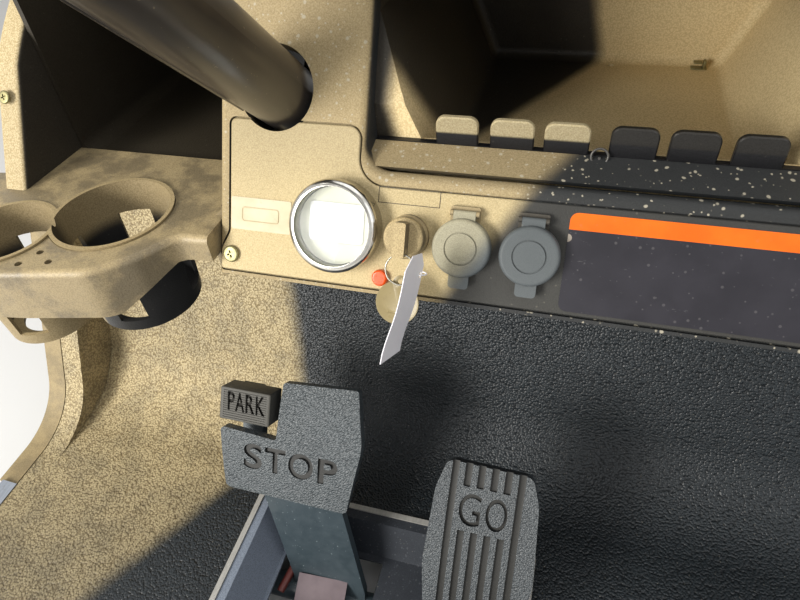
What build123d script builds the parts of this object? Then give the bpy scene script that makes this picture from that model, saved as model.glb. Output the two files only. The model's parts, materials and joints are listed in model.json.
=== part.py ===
import math
import os

from build123d import *

os.makedirs("parts", exist_ok=True)

# Frame of reference: X to the vehicle's right, Y forward, Z up, all in mm.
# Z = 0 is the underside of the chassis rails, Y = 0 the middle of the chassis bolts.

# chassis
rail_x = 350.0
rail_w = 50.0
rail_h = 90.0
rail_wall = 4.0
rail_back = -335.0
rail_front = 500.0
chassis_bolt_y = 280.0
chassis_bolt_r = 6.5
cross_h_low = 20.0
cross_h_high = 80.0
cross_depth = 40.0

# floor and toe board
floor_z = 95.0
skin = 5.0
floor_half = 585.0
ridge_w = 27.0
ridge_out = floor_half + ridge_w
toe_angle = 64.0
toe_radius = 110.0
toe_corner_y = 258.8
toe_top_z = 470.0
ridge_angle = 63.4
ridge_radius = 90.0
ridge_corner_y = 194.5
edge_gap = 2.5
cowl_w = 28.0
cowl_out = ridge_out + cowl_w
sill_front = 95.0

# pedal tray
tray_left = -304.0
tray_right = 0.0
tray_back = -40.0
tray_front = 160.0
trim_w = 6.0
tray_wall = 3.0
recess_z = 60.0

# pedals
pivot_y = 88.0
pivot_z = 26.0
pivot_r = 8.0
pin_gap = 0.05
hub_r = 14.0
arm_t = 8.0
brake_x0 = -270.0
brake_x1 = -186.0
arm_shift = 19.0
slot_x0 = -266.0
slot_x1 = -155.0
brake_c = (150.6, 215.1)
brake_angle = 55.0
pad_t = 16.0
park_pin_y = 165.0
park_pin_z = 165.0
park_pin_r = 4.0
accel_c = (115.2, 211.4)
accel_angle = 52.0
accel_x = -46.7
brake_rod_x = -174.0
brake_rod_y = 38.0
brake_rod_r = 4.1
accel_rod_x = -127.0
accel_rod_y = 42.0
accel_rod_r = 3.1
rod_z = 26.0

# dash
lean = 30.0
gauge_row_y = 167.0
gauge_row_z = 492.0
tower_out = 251.0
tower_in = 144.0
face_t = 10.0
face_low = -44.0
band_top = 38.0
cheek = 14.0
deck_low_z = 624.0
deck_top_z = 650.0
deck_side_y = 292.0
deck_mid_y = 225.0
deck_front = 470.0
panel_t = 3.0
panel_groove = 1.2
edge_r = 6.0
corner_r = 17.0
wall = 4.0
mouth_y = 218.0
bin_back = 450.0
pod_top = 485.0
pod_low = 443.0
ledge_y = 244.0
tower_back = ledge_y + 18
side_in = 430.0
side_out = 451.0
deck_half = side_out + 4

# instruments, places along X and up the panel
gauge_x = -160.0
gauge_v = 0.0
gauge_r = 26.0
bezel_r = 31.0
bezel_proud = 15.0
dial_depth = 5.0
key_x = -111.0
key_v = -2.0
socket_v = -5.0
socket_r = 13.0
socket_bore_r = 10.5
cap_r = 18.7
cap_t = 7.0
hinge_v = 16.7
hinge_off = 5.3
hinge_r = 1.8
hinge_pin_r = 0.9
hinge_half = 7.0
lamp_x = -128.0
lamp_v = -32.0

# column
col_x = -209.0
col_y = 209.5
col_z = 566.0
col_angle = 42.5
jacket_r = 23.0
jacket_wall = 2.5
jacket_low = -140.0
jacket_high = 335.0
shaft_r = 9.5
shaft_low = -330.0
coupling_r = 8.0
coupling_len = 45.0
wheel_t = 435.0
rim_r = 162.0
rim_tube = 13.0

up_y = math.sin(math.radians(lean))
up_z = math.cos(math.radians(lean))
face = Plane(origin=(0, gauge_row_y, gauge_row_z), x_dir=(1, 0, 0), z_dir=(0, -up_z, up_y))
ax_y = -math.cos(math.radians(col_angle))
ax_z = math.sin(math.radians(col_angle))
column = Plane(origin=(col_x, col_y, col_z), x_dir=(1, 0, 0), z_dir=(0, ax_y, ax_z))


def pad_plane(x, centre, angle):
    a = math.radians(angle)
    return Plane(origin=(x, centre[0], centre[1]), x_dir=(1, 0, 0), z_dir=(0, -math.sin(a), math.cos(a)))


def bend(corner_y, radius, angle, top_z, drop):
    """Points of a floor line that turns up: start of the arc, middle, end, top."""
    a = math.radians(angle)
    cy = corner_y - radius * math.tan(a / 2)
    cz = floor_z + radius
    r = radius + drop
    mid = (cy + r * math.sin(a / 2), cz - r * math.cos(a / 2))
    end = (cy + r * math.sin(a), cz - r * math.cos(a))
    top = (end[0] + (top_z - end[1]) / math.tan(a), top_z)
    return (cy, floor_z - drop), mid, end, top


def band(points, half):
    """Outline of a strip of constant width along a line of points."""
    left = []
    right = []
    count = len(points)
    for i in range(count):
        dirs = []
        if i > 0:
            dirs.append((points[i][0] - points[i - 1][0], points[i][1] - points[i - 1][1]))
        if i < count - 1:
            dirs.append((points[i + 1][0] - points[i][0], points[i + 1][1] - points[i][1]))
        units = [(d[0] / math.hypot(*d), d[1] / math.hypot(*d)) for d in dirs]
        nx = -sum(u[1] for u in units)
        ny = sum(u[0] for u in units)
        size = math.hypot(nx, ny)
        nx = nx / size
        ny = ny / size
        reach = half / (-units[0][1] * nx + units[0][0] * ny)
        left.append((points[i][0] + nx * reach, points[i][1] + ny * reach))
        right.append((points[i][0] - nx * reach, points[i][1] - ny * reach))
    return left + right[::-1]


def yz(x):
    return Plane(origin=(x, 0, 0), x_dir=(0, 1, 0), z_dir=(1, 0, 0))


def near_face(edge, distance):
    return all(abs(face.to_local_coords(v.center()).Z - distance) < 0.01 for v in edge.vertices())


def save(part, name):
    part.label = name
    export_step(part, "parts/" + name + ".step")


# chassis frame: two tube rails and three cross members, with four bolt holes
cross_rows = (-315.0, 170.0, 460.0)
with BuildPart() as chassis_frame:
    for side in (-1, 1):
        with Locations((side * rail_x, (rail_back + rail_front) / 2, rail_h / 2)):
            Box(rail_w, rail_front - rail_back, rail_h)
    for side in (-1, 1):
        with Locations((side * rail_x, (rail_back + rail_front) / 2, rail_h / 2)):
            Box(rail_w - 2 * rail_wall, rail_front - rail_back - 8, rail_h - 2 * rail_wall, mode=Mode.SUBTRACT)
    for row_y in cross_rows:
        with Locations((0, row_y, (cross_h_low + cross_h_high) / 2)):
            Box(2 * (rail_x - rail_w / 2), cross_depth, cross_h_high - cross_h_low)
    for row_y in cross_rows:
        with Locations((0, row_y, (cross_h_low + cross_h_high) / 2)):
            Box(
                2 * (rail_x - rail_w / 2) - 2 * rail_wall,
                cross_depth - 6,
                cross_h_high - cross_h_low - 6,
                mode=Mode.SUBTRACT,
            )
    with Locations((rail_x, chassis_bolt_y, rail_h / 2), (-rail_x, chassis_bolt_y, rail_h / 2)):
        Cylinder(chassis_bolt_r, rail_h + 10, mode=Mode.SUBTRACT)
    with Locations((rail_x, -chassis_bolt_y, rail_h / 2), (-rail_x, -chassis_bolt_y, rail_h / 2)):
        Cylinder(chassis_bolt_r, rail_h + 10, mode=Mode.SUBTRACT)
save(chassis_frame.part, "chassis_frame")

# floor pan: one thick skin that turns up into the toe board, with a raised ridge at each side
toe = bend(toe_corner_y, toe_radius, toe_angle, toe_top_z, 0)
toe_low = bend(toe_corner_y, toe_radius, toe_angle, toe_top_z, skin)
ridge = bend(ridge_corner_y, ridge_radius, ridge_angle, toe_top_z, 0)
ridge_low = bend(ridge_corner_y, ridge_radius, ridge_angle, toe_top_z, skin)
shaft_hole_y = col_y - ax_y * 265
shaft_hole_z = col_z - ax_z * 265

with BuildPart() as floor_pan:
    with BuildSketch(yz(0)):
        with BuildLine():
            Line((rail_back, floor_z), toe[0])
            ThreePointArc(toe[0], toe[1], toe[2])
            Line(toe[2], toe[3])
            Line(toe[3], toe_low[3])
            Line(toe_low[3], toe_low[2])
            ThreePointArc(toe_low[2], toe_low[1], toe_low[0])
            Line(toe_low[0], (rail_back, floor_z - skin))
            Line((rail_back, floor_z - skin), (rail_back, floor_z))
        make_face()
    extrude(amount=ridge_out, both=True)
    for side in (-1, 1):
        with BuildSketch(yz(side * (floor_half + ridge_out) / 2)):
            with BuildLine():
                Line((ridge[0][0] - 2, floor_z - 1), ridge[0])
                ThreePointArc(ridge[0], ridge[1], ridge[2])
                Line(ridge[2], ridge[3])
                Line(ridge[3], (toe[3][0] + 1, toe[3][1]))
                Line((toe[3][0] + 1, toe[3][1]), (toe[2][0] + 1, toe[2][1] - 1))
                Line((toe[2][0] + 1, toe[2][1] - 1), (toe[1][0], toe[1][1] - 1))
                Line((toe[1][0], toe[1][1] - 1), (toe[0][0], floor_z - 1))
                Line((toe[0][0], floor_z - 1), (ridge[0][0] - 2, floor_z - 1))
            make_face()
        extrude(amount=(ridge_out - floor_half) / 2, both=True)
    for side in (-1, 1):
        with BuildSketch(yz(side * (floor_half + skin + ridge_out + 4) / 2)):
            with BuildLine():
                Line((ridge_low[0][0] + 30, floor_z), ridge_low[1])
                Line(ridge_low[1], ridge_low[2])
                Line(ridge_low[2], (ridge_low[3][0], toe_top_z + 1))
                Line((ridge_low[3][0], toe_top_z + 1), (toe[3][0], toe_top_z + 1))
                Line((toe[3][0], toe_top_z + 1), toe[2])
                ThreePointArc(toe[2], toe[1], toe[0])
                Line(toe[0], (ridge_low[0][0] + 30, floor_z))
            make_face()
        extrude(amount=(ridge_out + 4 - floor_half - skin) / 2, both=True, mode=Mode.SUBTRACT)
    with Locations(((tray_left + tray_right) / 2, (tray_back + tray_front) / 2, floor_z)):
        Box(tray_right - tray_left - 12, tray_front - tray_back - 12, 30, mode=Mode.SUBTRACT)
    with BuildSketch(Plane(origin=(col_x, shaft_hole_y, shaft_hole_z), x_dir=(1, 0, 0), z_dir=(0, ax_y, ax_z))):
        Circle(20)
    extrude(amount=40, both=True, mode=Mode.SUBTRACT)
save(floor_pan.part, "floor_pan")

# side sills and the cowl's edge strips outside the floor
for side, tag in ((-1, "left"), (1, "right")):
    with BuildPart() as sill:
        with BuildSketch(Plane.XZ.offset(-sill_front)):
            with BuildLine():
                Polyline(
                    (side * (ridge_out + 0.5), 60),
                    (side * (ridge_out + 0.5), floor_z + 1),
                    (side * (cowl_out - 8), floor_z + 3),
                    (side * cowl_out, floor_z - 5),
                    (side * cowl_out, 60),
                    (side * (cowl_out - 4), 60),
                    (side * (cowl_out - 4), floor_z - 8),
                    (side * (ridge_out + 4.5), floor_z - 5),
                    (side * (ridge_out + 4.5), 60),
                    close=True,
                )
            make_face()
        extrude(amount=sill_front - rail_back)
    save(sill.part, "sill_" + tag)
    with BuildPart() as cowl_edge:
        with BuildSketch(yz(side * (ridge_out + edge_gap))):
            with BuildLine():
                Line((sill_front + 0.3, floor_z - 15), (sill_front + 0.3, floor_z - 1))
                Line((sill_front + 0.3, floor_z - 1), (ridge[0][0], floor_z - 1))
                ThreePointArc((ridge[0][0], floor_z - 1), (ridge[1][0] + 1, ridge[1][1] - 1), (ridge[2][0] + 1, ridge[2][1]))
                Line((ridge[2][0] + 1, ridge[2][1]), (ridge[3][0] + 1, toe_top_z))
                Line((ridge[3][0] + 1, toe_top_z), (toe_low[3][0], toe_top_z))
                Line((toe_low[3][0], toe_top_z), toe_low[2])
                ThreePointArc(toe_low[2], toe_low[1], toe_low[0])
                Line(toe_low[0], (toe_low[0][0] - 40, floor_z - 15))
                Line((toe_low[0][0] - 40, floor_z - 15), (sill_front + 0.3, floor_z - 15))
            make_face()
        extrude(amount=side * (cowl_out - ridge_out - edge_gap))
    save(cowl_edge.part, "cowl_edge_" + tag)

# pedal tray: a sloped tub with a recess and two arm slots, and its bright trim frame
tray_mid_x = (tray_left + tray_right) / 2
tray_mid_y = (tray_back + tray_front) / 2
tray_w = tray_right - tray_left
tray_l = tray_front - tray_back
low_x0 = -273.0
low_x1 = -12.0
low_y0 = 0.0
low_y1 = 134.0
with BuildPart() as pedal_tray:
    with BuildSketch(Plane.XY.offset(floor_z)):
        with Locations((tray_mid_x, tray_mid_y)):
            RectangleRounded(tray_w, tray_l, 12)
    extrude(amount=3)
    for inset, mode in ((0.0, Mode.ADD), (tray_wall, Mode.SUBTRACT)):
        top_cut = floor_z + 3 if mode == Mode.SUBTRACT else floor_z
        with BuildSketch(Plane.XY.offset(top_cut)):
            with Locations((tray_mid_x, tray_mid_y)):
                Rectangle(tray_w - 13 - 2 * inset, tray_l - 13 - 2 * inset)
        with BuildSketch(Plane.XY.offset(recess_z - tray_wall + inset)):
            with Locations(((low_x0 + low_x1) / 2, (low_y0 + low_y1) / 2)):
                Rectangle(low_x1 - low_x0 - 2 * inset, low_y1 - low_y0 - 2 * inset)
        loft(mode=mode)
    with BuildSketch(Plane.XY.offset(recess_z - 10)):
        with Locations(((slot_x0 + slot_x1) / 2, 78)):
            Rectangle(slot_x1 - slot_x0, 92)
        with Locations((accel_x, 95)):
            Rectangle(56, 58)
    extrude(amount=20, mode=Mode.SUBTRACT)
save(pedal_tray.part, "pedal_tray")

with BuildPart() as tray_trim:
    with BuildSketch(Plane.XY.offset(floor_z)):
        with Locations((tray_mid_x, tray_mid_y)):
            RectangleRounded(tray_w + 2 * trim_w, tray_l + 2 * trim_w, 16)
            RectangleRounded(tray_w + 0.6, tray_l + 0.6, 12.3, mode=Mode.SUBTRACT)
    extrude(amount=4.5)
save(tray_trim.part, "tray_trim")

# pedal bracket and pivot shaft
plate_rows = ((-313.0, 6.0), (-150.0, 6.0), (14.0, 6.0))
with BuildPart() as pedal_bracket:
    for plate_x, plate_t in plate_rows:
        with BuildSketch(yz(plate_x)):
            with BuildLine():
                Polyline((66, 8), (66, 50), (140, 50), (149.5, 50), (149.5, 22), (120, 8), close=True)
            make_face()
        extrude(amount=plate_t)
    with Locations(((plate_rows[0][0] + plate_rows[2][0] + 6) / 2, 146.5, 44)):
        Box(plate_rows[2][0] + 6 - plate_rows[0][0], 6, 44)
    with Locations(Location((tray_mid_x, pivot_y, pivot_z), (0, 90, 0))):
        Cylinder(pivot_r, 400, mode=Mode.SUBTRACT)
save(pedal_bracket.part, "pedal_bracket")

with BuildPart() as pivot_shaft:
    with BuildSketch(yz(-318)):
        with Locations((pivot_y, pivot_z)):
            Circle(pivot_r)
    extrude(amount=344)
save(pivot_shaft.part, "pivot_shaft")

# brake arm, with its rod lever and the lug for the parking lever
brake_plane = pad_plane(-250.0, brake_c, brake_angle)
with BuildPart() as brake_arm:
    with BuildSketch(yz(brake_x0 - 30)):
        with BuildLine():
            Polyline(*band([(pivot_y, pivot_z), (129, 158), (187, 241)], arm_t / 2), close=True)
        make_face()
    extrude(amount=brake_x1 - brake_x0 + 60)
    with BuildSketch(Plane.XZ):
        with BuildLine():
            Polyline(
                (brake_x0 + 8, 260),
                (brake_x1 - 5, 260),
                (brake_x1 - 5, 162),
                (brake_x1 + arm_shift, 50),
                (brake_x1 + arm_shift, 0),
                (brake_x0 + arm_shift, 0),
                (brake_x0 + arm_shift, 50),
                (brake_x0 - 8, 162),
                (brake_x0 - 8, 188),
                (brake_x0 + 8, 204),
                close=True,
            )
        make_face()
    extrude(amount=-300, mode=Mode.INTERSECT)
    with BuildSketch(yz(brake_x0 - 30)):
        with Locations((pivot_y, pivot_z)):
            Circle(hub_r)
    extrude(amount=brake_x1 - brake_x0 + 60)
    with BuildSketch(yz(brake_rod_x - 4)):
        with BuildLine():
            Polyline(*band([(pivot_y, pivot_z), (brake_rod_y + 6, rod_z)], 8), close=True)
        make_face()
    extrude(amount=8)
    with Locations((brake_rod_x, brake_rod_y, rod_z)):
        Box(24, 22, 8)
    with BuildSketch(yz(-288)):
        with BuildLine():
            Polyline((132, 150), (150, 150), (176, 160), (176, 172), (160, 176), (146, 178), close=True)
        make_face()
    extrude(amount=18.5)
    with BuildSketch(yz(-320)):
        with Locations((pivot_y, pivot_z)):
            Circle(pivot_r + pin_gap)
    extrude(amount=200, mode=Mode.SUBTRACT)
    with Locations((brake_rod_x, brake_rod_y - 2, rod_z)):
        Cylinder(brake_rod_r, 20, mode=Mode.SUBTRACT)
    with BuildSketch(yz(-300)):
        with Locations((park_pin_y, park_pin_z)):
            Circle(park_pin_r + pin_gap)
    extrude(amount=34, mode=Mode.SUBTRACT)
save(brake_arm.part, "brake_arm")

brake_rows = ((68, 71, 3.0), (78, 15, 60.0), (66, -58, 6.0), (-68, -57, 6.0), (-76, 10, 4.0), (-13, 6, 3.0), (-11, 66, 3.0))
with BuildPart() as brake_pad:
    with BuildSketch(brake_plane.offset(-pad_t + 2)):
        with BuildLine():
            Polyline(*[(p[0], p[1]) for p in brake_rows], close=True)
        make_face()
        for px, py, pr in brake_rows:
            fillet([v for v in vertices() if abs(v.X - px) + abs(v.Y - py) < 0.1], pr)
    extrude(amount=pad_t + 6)
    with BuildSketch(Plane(origin=brake_plane.origin, x_dir=brake_plane.y_dir, z_dir=brake_plane.x_dir)):
        with BuildLine():
            ThreePointArc((-66, -6), (4, 0), (78, -7))
            Line((78, -7), (78, 30))
            Line((78, 30), (-66, 30))
            Line((-66, 30), (-66, -6))
        make_face()
    extrude(amount=100, both=True, mode=Mode.SUBTRACT)
    with BuildSketch(yz(brake_x0 - 60)):
        with BuildLine():
            Polyline(*band([(pivot_y, pivot_z), (129, 158), (187, 241)], arm_t / 2 + 0.05), close=True)
        make_face()
    extrude(amount=200, mode=Mode.SUBTRACT)
save(brake_pad.part, "brake_pad")

# parking pad and its lever, on a pin in the brake arm's lug
with BuildPart() as park_pad:
    with BuildSketch(brake_plane.offset(-22)):
        with BuildLine():
            Polyline((-75.6, 20), (-75.6, 54), (-20, 54), (-20, 20), close=True)
        make_face()
    extrude(amount=26)
save(park_pad.part, "park_pad")

with BuildPart() as park_arm:
    with BuildSketch(yz(-318)):
        with BuildLine():
            Polyline(*band([(park_pin_y, park_pin_z), (188, 203), (201.6, 240.1)], 5), close=True)
        make_face()
        with Locations((park_pin_y, park_pin_z)):
            Circle(8)
    extrude(amount=24)
    with BuildSketch(yz(-318)):
        with Locations((park_pin_y, park_pin_z)):
            Circle(park_pin_r)
    extrude(amount=48)
save(park_arm.part, "park_arm")

# accelerator arm and pad
accel_plane = pad_plane(accel_x, accel_c, accel_angle)
accel_line = [(pivot_y, pivot_z), (103, 140), (142, 220)]
with BuildPart() as accel_arm:
    with BuildSketch(yz(accel_x - 20)):
        with BuildLine():
            Polyline(*band(accel_line, arm_t / 2), close=True)
        make_face()
    extrude(amount=40)
    with BuildSketch(yz(-140)):
        with Locations((pivot_y, pivot_z)):
            Circle(hub_r)
    extrude(amount=150)
    with BuildSketch(yz(accel_rod_x - 3)):
        with BuildLine():
            Polyline(*band([(pivot_y, pivot_z), (accel_rod_y + 6, rod_z)], 7), close=True)
        make_face()
    extrude(amount=6)
    with Locations((accel_rod_x, accel_rod_y, rod_z)):
        Box(20, 18, 6)
    with BuildSketch(yz(-145)):
        with Locations((pivot_y, pivot_z)):
            Circle(pivot_r + pin_gap)
    extrude(amount=160, mode=Mode.SUBTRACT)
    with Locations((accel_rod_x, accel_rod_y - 1, rod_z)):
        Cylinder(accel_rod_r, 20, mode=Mode.SUBTRACT)
save(accel_arm.part, "accel_arm")

accel_rows = ((-38, 56, 8.0), (38, 54, 8.0), (46, 30, 30.0), (50, -40, 80.0), (44, -98, 8.0), (-44, -98, 8.0), (-50, -40, 80.0), (-46, 30, 30.0))
with BuildPart() as accel_pad:
    with BuildSketch(accel_plane.offset(-14)):
        with BuildLine():
            Polyline(*[(p[0], p[1]) for p in accel_rows], close=True)
        make_face()
        for px, py, pr in accel_rows:
            fillet([v for v in vertices() if abs(v.X - px) + abs(v.Y - py) < 0.1], pr)
    extrude(amount=22)
    with BuildSketch(Plane(origin=accel_plane.origin, x_dir=accel_plane.y_dir, z_dir=accel_plane.x_dir)):
        with BuildLine():
            ThreePointArc((-105, -7), (-20, 0), (62, -6))
            Line((62, -6), (62, 30))
            Line((62, 30), (-105, 30))
            Line((-105, 30), (-105, -7))
        make_face()
    extrude(amount=100, both=True, mode=Mode.SUBTRACT)
    with BuildSketch(yz(accel_x - 60)):
        with BuildLine():
            Polyline(*band(accel_line, arm_t / 2 + 0.05), close=True)
        make_face()
    extrude(amount=120, mode=Mode.SUBTRACT)
save(accel_pad.part, "accel_pad")

# dash shell: leaning face with two towers, sloping shelf, and a pod at each side
tower_v = (deck_low_z - 0.5 - gauge_row_z) / up_z
cup_right = (-338.0, 160.0, 46.0)
cup_left = (-406.6, 123.3, 39.0)
pod_rows = (
    (-tower_out, 143.5, 0),
    (-273.0, 142.0, 13.0),
    (-291.0, 115.0, 34.0),
    (-314.0, 95.0, 30.0),
    (-374.0, 82.0, 0),
    (-440.0, 72.0, 0),
    (-490.0, 82.0, 38.0),
    (-490.0, 196.0, 16.0),
    (-side_out - 1, 202.0, 0),
    (-side_out - 1, ledge_y, 0),
    (-tower_out, ledge_y, 0),
)
pod_neck_out = tower_out + 57
pod_neck_in = tower_out + 25
tee_holes = ((-367.5, 94.0), (-361.0, 108.0), (-347.5, 100.0))
panel_rows = (
    (-241.5, -13.0, 10.0),
    (-248.5, -26.0, 9.0),
    (-248.5, -40.5, 1.5),
    (248.5, -40.5, 1.5),
    (248.5, -26.0, 9.0),
    (241.5, -13.0, 10.0),
    (241.5, 64.5, 4.0),
    (148.0, 64.5, 8.0),
    (148.0, 27.7, 18.0),
    (-148.0, 27.7, 18.0),
    (-148.0, 64.5, 8.0),
    (-241.5, 64.5, 4.0),
)


def face_y(z):
    return gauge_row_y + (z - gauge_row_z) * up_y / up_z


with BuildPart() as dash_shell:
    with BuildSketch(face):
        with BuildLine():
            Polyline(
                (-tower_out, face_low),
                (tower_out, face_low),
                (tower_out, tower_v),
                (tower_in, tower_v),
                (tower_in, band_top),
                (-tower_in, band_top),
                (-tower_in, tower_v),
                (-tower_out, tower_v),
                close=True,
            )
        make_face()
        fillet([v for v in vertices() if abs(abs(v.X) - tower_in) < 0.1 and abs(v.Y - band_top) < 0.1], corner_r)
    extrude(amount=-face_t)
    fillet([e for e in edges() if near_face(e, 0) and face.to_local_coords(e.center()).Y > face_low + 5
            and face.to_local_coords(e.center()).Y < tower_v - 2], edge_r)
    with BuildSketch(yz(-tower_in - 1)):
        with BuildLine():
            y0 = gauge_row_y + band_top * up_y + 4
            z0 = gauge_row_z + band_top * up_z + 1
            Polyline((y0, z0), (213, 532), (213, 527), (y0 + 6, z0 - 6), close=True)
        make_face()
    extrude(amount=2 * tower_in + 2)
    with BuildSketch(face.offset(-face_t - 22)):
        with Locations((0, face_low + 2)):
            Rectangle(2 * tower_out, 4)
    extrude(amount=23)
    tower_z = deck_low_z - 0.5
    for side in (-1, 1):
        with BuildSketch(yz(side * tower_out)):
            with BuildLine():
                Polyline(
                    (face_y(pod_low + 12) + 9, pod_low + 12),
                    (face_y(tower_z) + 9, tower_z),
                    (tower_back, tower_z),
                    (tower_back, pod_low + 12),
                    close=True,
                )
            make_face()
        extrude(amount=-side * wall)
        with BuildSketch(yz(side * (tower_in + wall))):
            with BuildLine():
                Polyline(
                    (face_y(z0) + 9, z0),
                    (face_y(tower_z) + 9, tower_z),
                    (face_y(tower_z) + cheek, tower_z),
                    (mouth_y - 1, gauge_row_z + (mouth_y - 1 - cheek - gauge_row_y) * up_z / up_y),
                    (mouth_y - 1, z0),
                    close=True,
                )
            make_face()
        extrude(amount=-side * wall)
    with BuildSketch(face) as recess:
        with BuildLine():
            Polyline(*[(p[0], p[1]) for p in panel_rows], close=True)
        make_face()
        for px, py, pr in panel_rows:
            fillet([v for v in vertices() if abs(v.X - px) + abs(v.Y - py) < 0.1], pr)
        offset(amount=panel_groove, mode=Mode.REPLACE)
    extrude(amount=-panel_t, mode=Mode.SUBTRACT)
    with BuildSketch(face):
        with Locations((-100, -3)):
            Rectangle(190, 62)
        with Locations((lamp_x, lamp_v)):
            Circle(6)
    extrude(amount=-face_t - 1, mode=Mode.SUBTRACT)
    with BuildSketch(column.offset(-40)):
        Circle(jacket_r + 4)
    extrude(amount=80, mode=Mode.SUBTRACT)
save(dash_shell.part, "dash_shell")

# pods at each side, thin moulded shells with two joined cup holes
for side, tag in ((1, "left"), (-1, "right")):
    pod_outline = [(side * px, py) for px, py, pr in pod_rows]
    with BuildPart() as pod:
        with BuildSketch(Plane.XY.offset(pod_low)) as pod_plan:
            with BuildLine():
                Polyline(*pod_outline, close=True)
            make_face()
            for px, py, pr in pod_rows:
                if pr > 0:
                    fillet([v for v in vertices() if abs(v.X - side * px) + abs(v.Y - py) < 0.1], pr)
        extrude(amount=pod_top - pod_low)
        top_edges = edges().filter_by(lambda e: abs(e.center().Z - pod_top) < 0.01 and e.center().Y < 195)
        fillet([e for e in top_edges if abs(e.center().X) > tower_out + 1], 5)
        with BuildSketch(Plane.XZ.offset(-155)):
            with BuildLine():
                Polyline(
                    (side * -pod_neck_out, pod_low - 1),
                    (side * -pod_neck_in, pod_low + 22),
                    (side * -(tower_out - 1), pod_low + 22),
                    (side * -(tower_out - 1), pod_low - 1),
                    close=True,
                )
            make_face()
        extrude(amount=100, mode=Mode.SUBTRACT)
        with BuildSketch(Plane.XY.offset(pod_low - 1)):
            add(pod_plan.sketch)
            offset(amount=-wall, mode=Mode.REPLACE)
        extrude(amount=pod_top - pod_low - wall + 1, mode=Mode.SUBTRACT)
        with BuildSketch(Plane.XY.offset(pod_top - wall - 1)):
            for cx, cy, cr in (cup_right, cup_left):
                with Locations((side * cx, cy)):
                    Circle(cr)
            for hole_x, hole_y in tee_holes:
                with Locations((side * hole_x, hole_y)):
                    Circle(2.6)
        extrude(amount=wall + 2, mode=Mode.SUBTRACT)
        with BuildSketch(Plane.XZ.offset(-172)):
            with BuildLine():
                root_x = side * -tower_out
                Line((root_x, pod_top - 1), (root_x, pod_top + 9))
                ThreePointArc((root_x, pod_top + 9), (root_x - side * 2.64, pod_top + 2.64), (root_x - side * 9, pod_top))
                Line((root_x - side * 9, pod_top), (root_x - side * 9, pod_top - 1))
                Line((root_x - side * 9, pod_top - 1), (root_x, pod_top - 1))
            make_face()
        extrude(amount=-(ledge_y - 172))
    save(pod.part, "pod_" + tag)

# steering column: jacket with a bush at each end
with BuildPart() as column_jacket:
    with BuildSketch(column.offset(jacket_low)):
        Circle(jacket_r)
    extrude(amount=jacket_high - jacket_low)
    with BuildSketch(column.offset(jacket_low + 20)):
        Circle(jacket_r - jacket_wall)
    extrude(amount=jacket_high - jacket_low - 40, mode=Mode.SUBTRACT)
    with BuildSketch(column.offset(jacket_low)):
        Circle(shaft_r + pin_gap)
    extrude(amount=jacket_high - jacket_low, mode=Mode.SUBTRACT)
save(column_jacket.part, "column_jacket")

with BuildPart() as steering_shaft:
    with BuildSketch(column.offset(shaft_low + coupling_len)):
        Circle(shaft_r)
    extrude(amount=wheel_t + 8 - shaft_low - coupling_len)
    with BuildSketch(column.offset(shaft_low)):
        Circle(coupling_r)
    extrude(amount=coupling_len)
save(steering_shaft.part, "steering_shaft")

with BuildPart() as wheel_hub:
    with BuildSketch(column.offset(jacket_high + 10)):
        Circle(30)
    extrude(amount=wheel_t - 14.2 - jacket_high - 10)
    with BuildSketch(column.offset(jacket_high)):
        Circle(shaft_r + 0.02)
    extrude(amount=120, mode=Mode.SUBTRACT)
save(wheel_hub.part, "wheel_hub")

spoke_rows = ((-8.0, 30.0), (90.0, 38.0), (188.0, 30.0))
spoke_mid = (rim_r + 38) / 2
wheel_c = column.origin + column.z_dir * wheel_t
with BuildPart() as steering_wheel:
    with BuildSketch(column.offset(wheel_t - 14)):
        Circle(50)
        Circle(shaft_r + 0.02, mode=Mode.SUBTRACT)
    extrude(amount=24)
    fillet([e for e in edges() if abs(column.to_local_coords(e.center()).Z - wheel_t - 10) < 0.1 and e.radius > 40], 6)
    for turn, width in spoke_rows:
        a = math.radians(turn)
        with BuildSketch(column.offset(wheel_t - 9)):
            with Locations(Location((spoke_mid * math.cos(a), -spoke_mid * math.sin(a), 0), (0, 0, -turn))):
                Rectangle(rim_r - 50, width)
                with Locations((0, 0)):
                    SlotOverall(60, width - 18, mode=Mode.SUBTRACT)
        extrude(amount=9)
    with BuildSketch(Plane(origin=wheel_c, x_dir=(1, 0, 0), z_dir=-column.y_dir)) as tube:
        with Locations((rim_r, 0)):
            Circle(rim_tube)
    revolve(axis=Axis(wheel_c, column.z_dir), revolution_arc=360)
save(steering_wheel.part, "steering_wheel")

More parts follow.
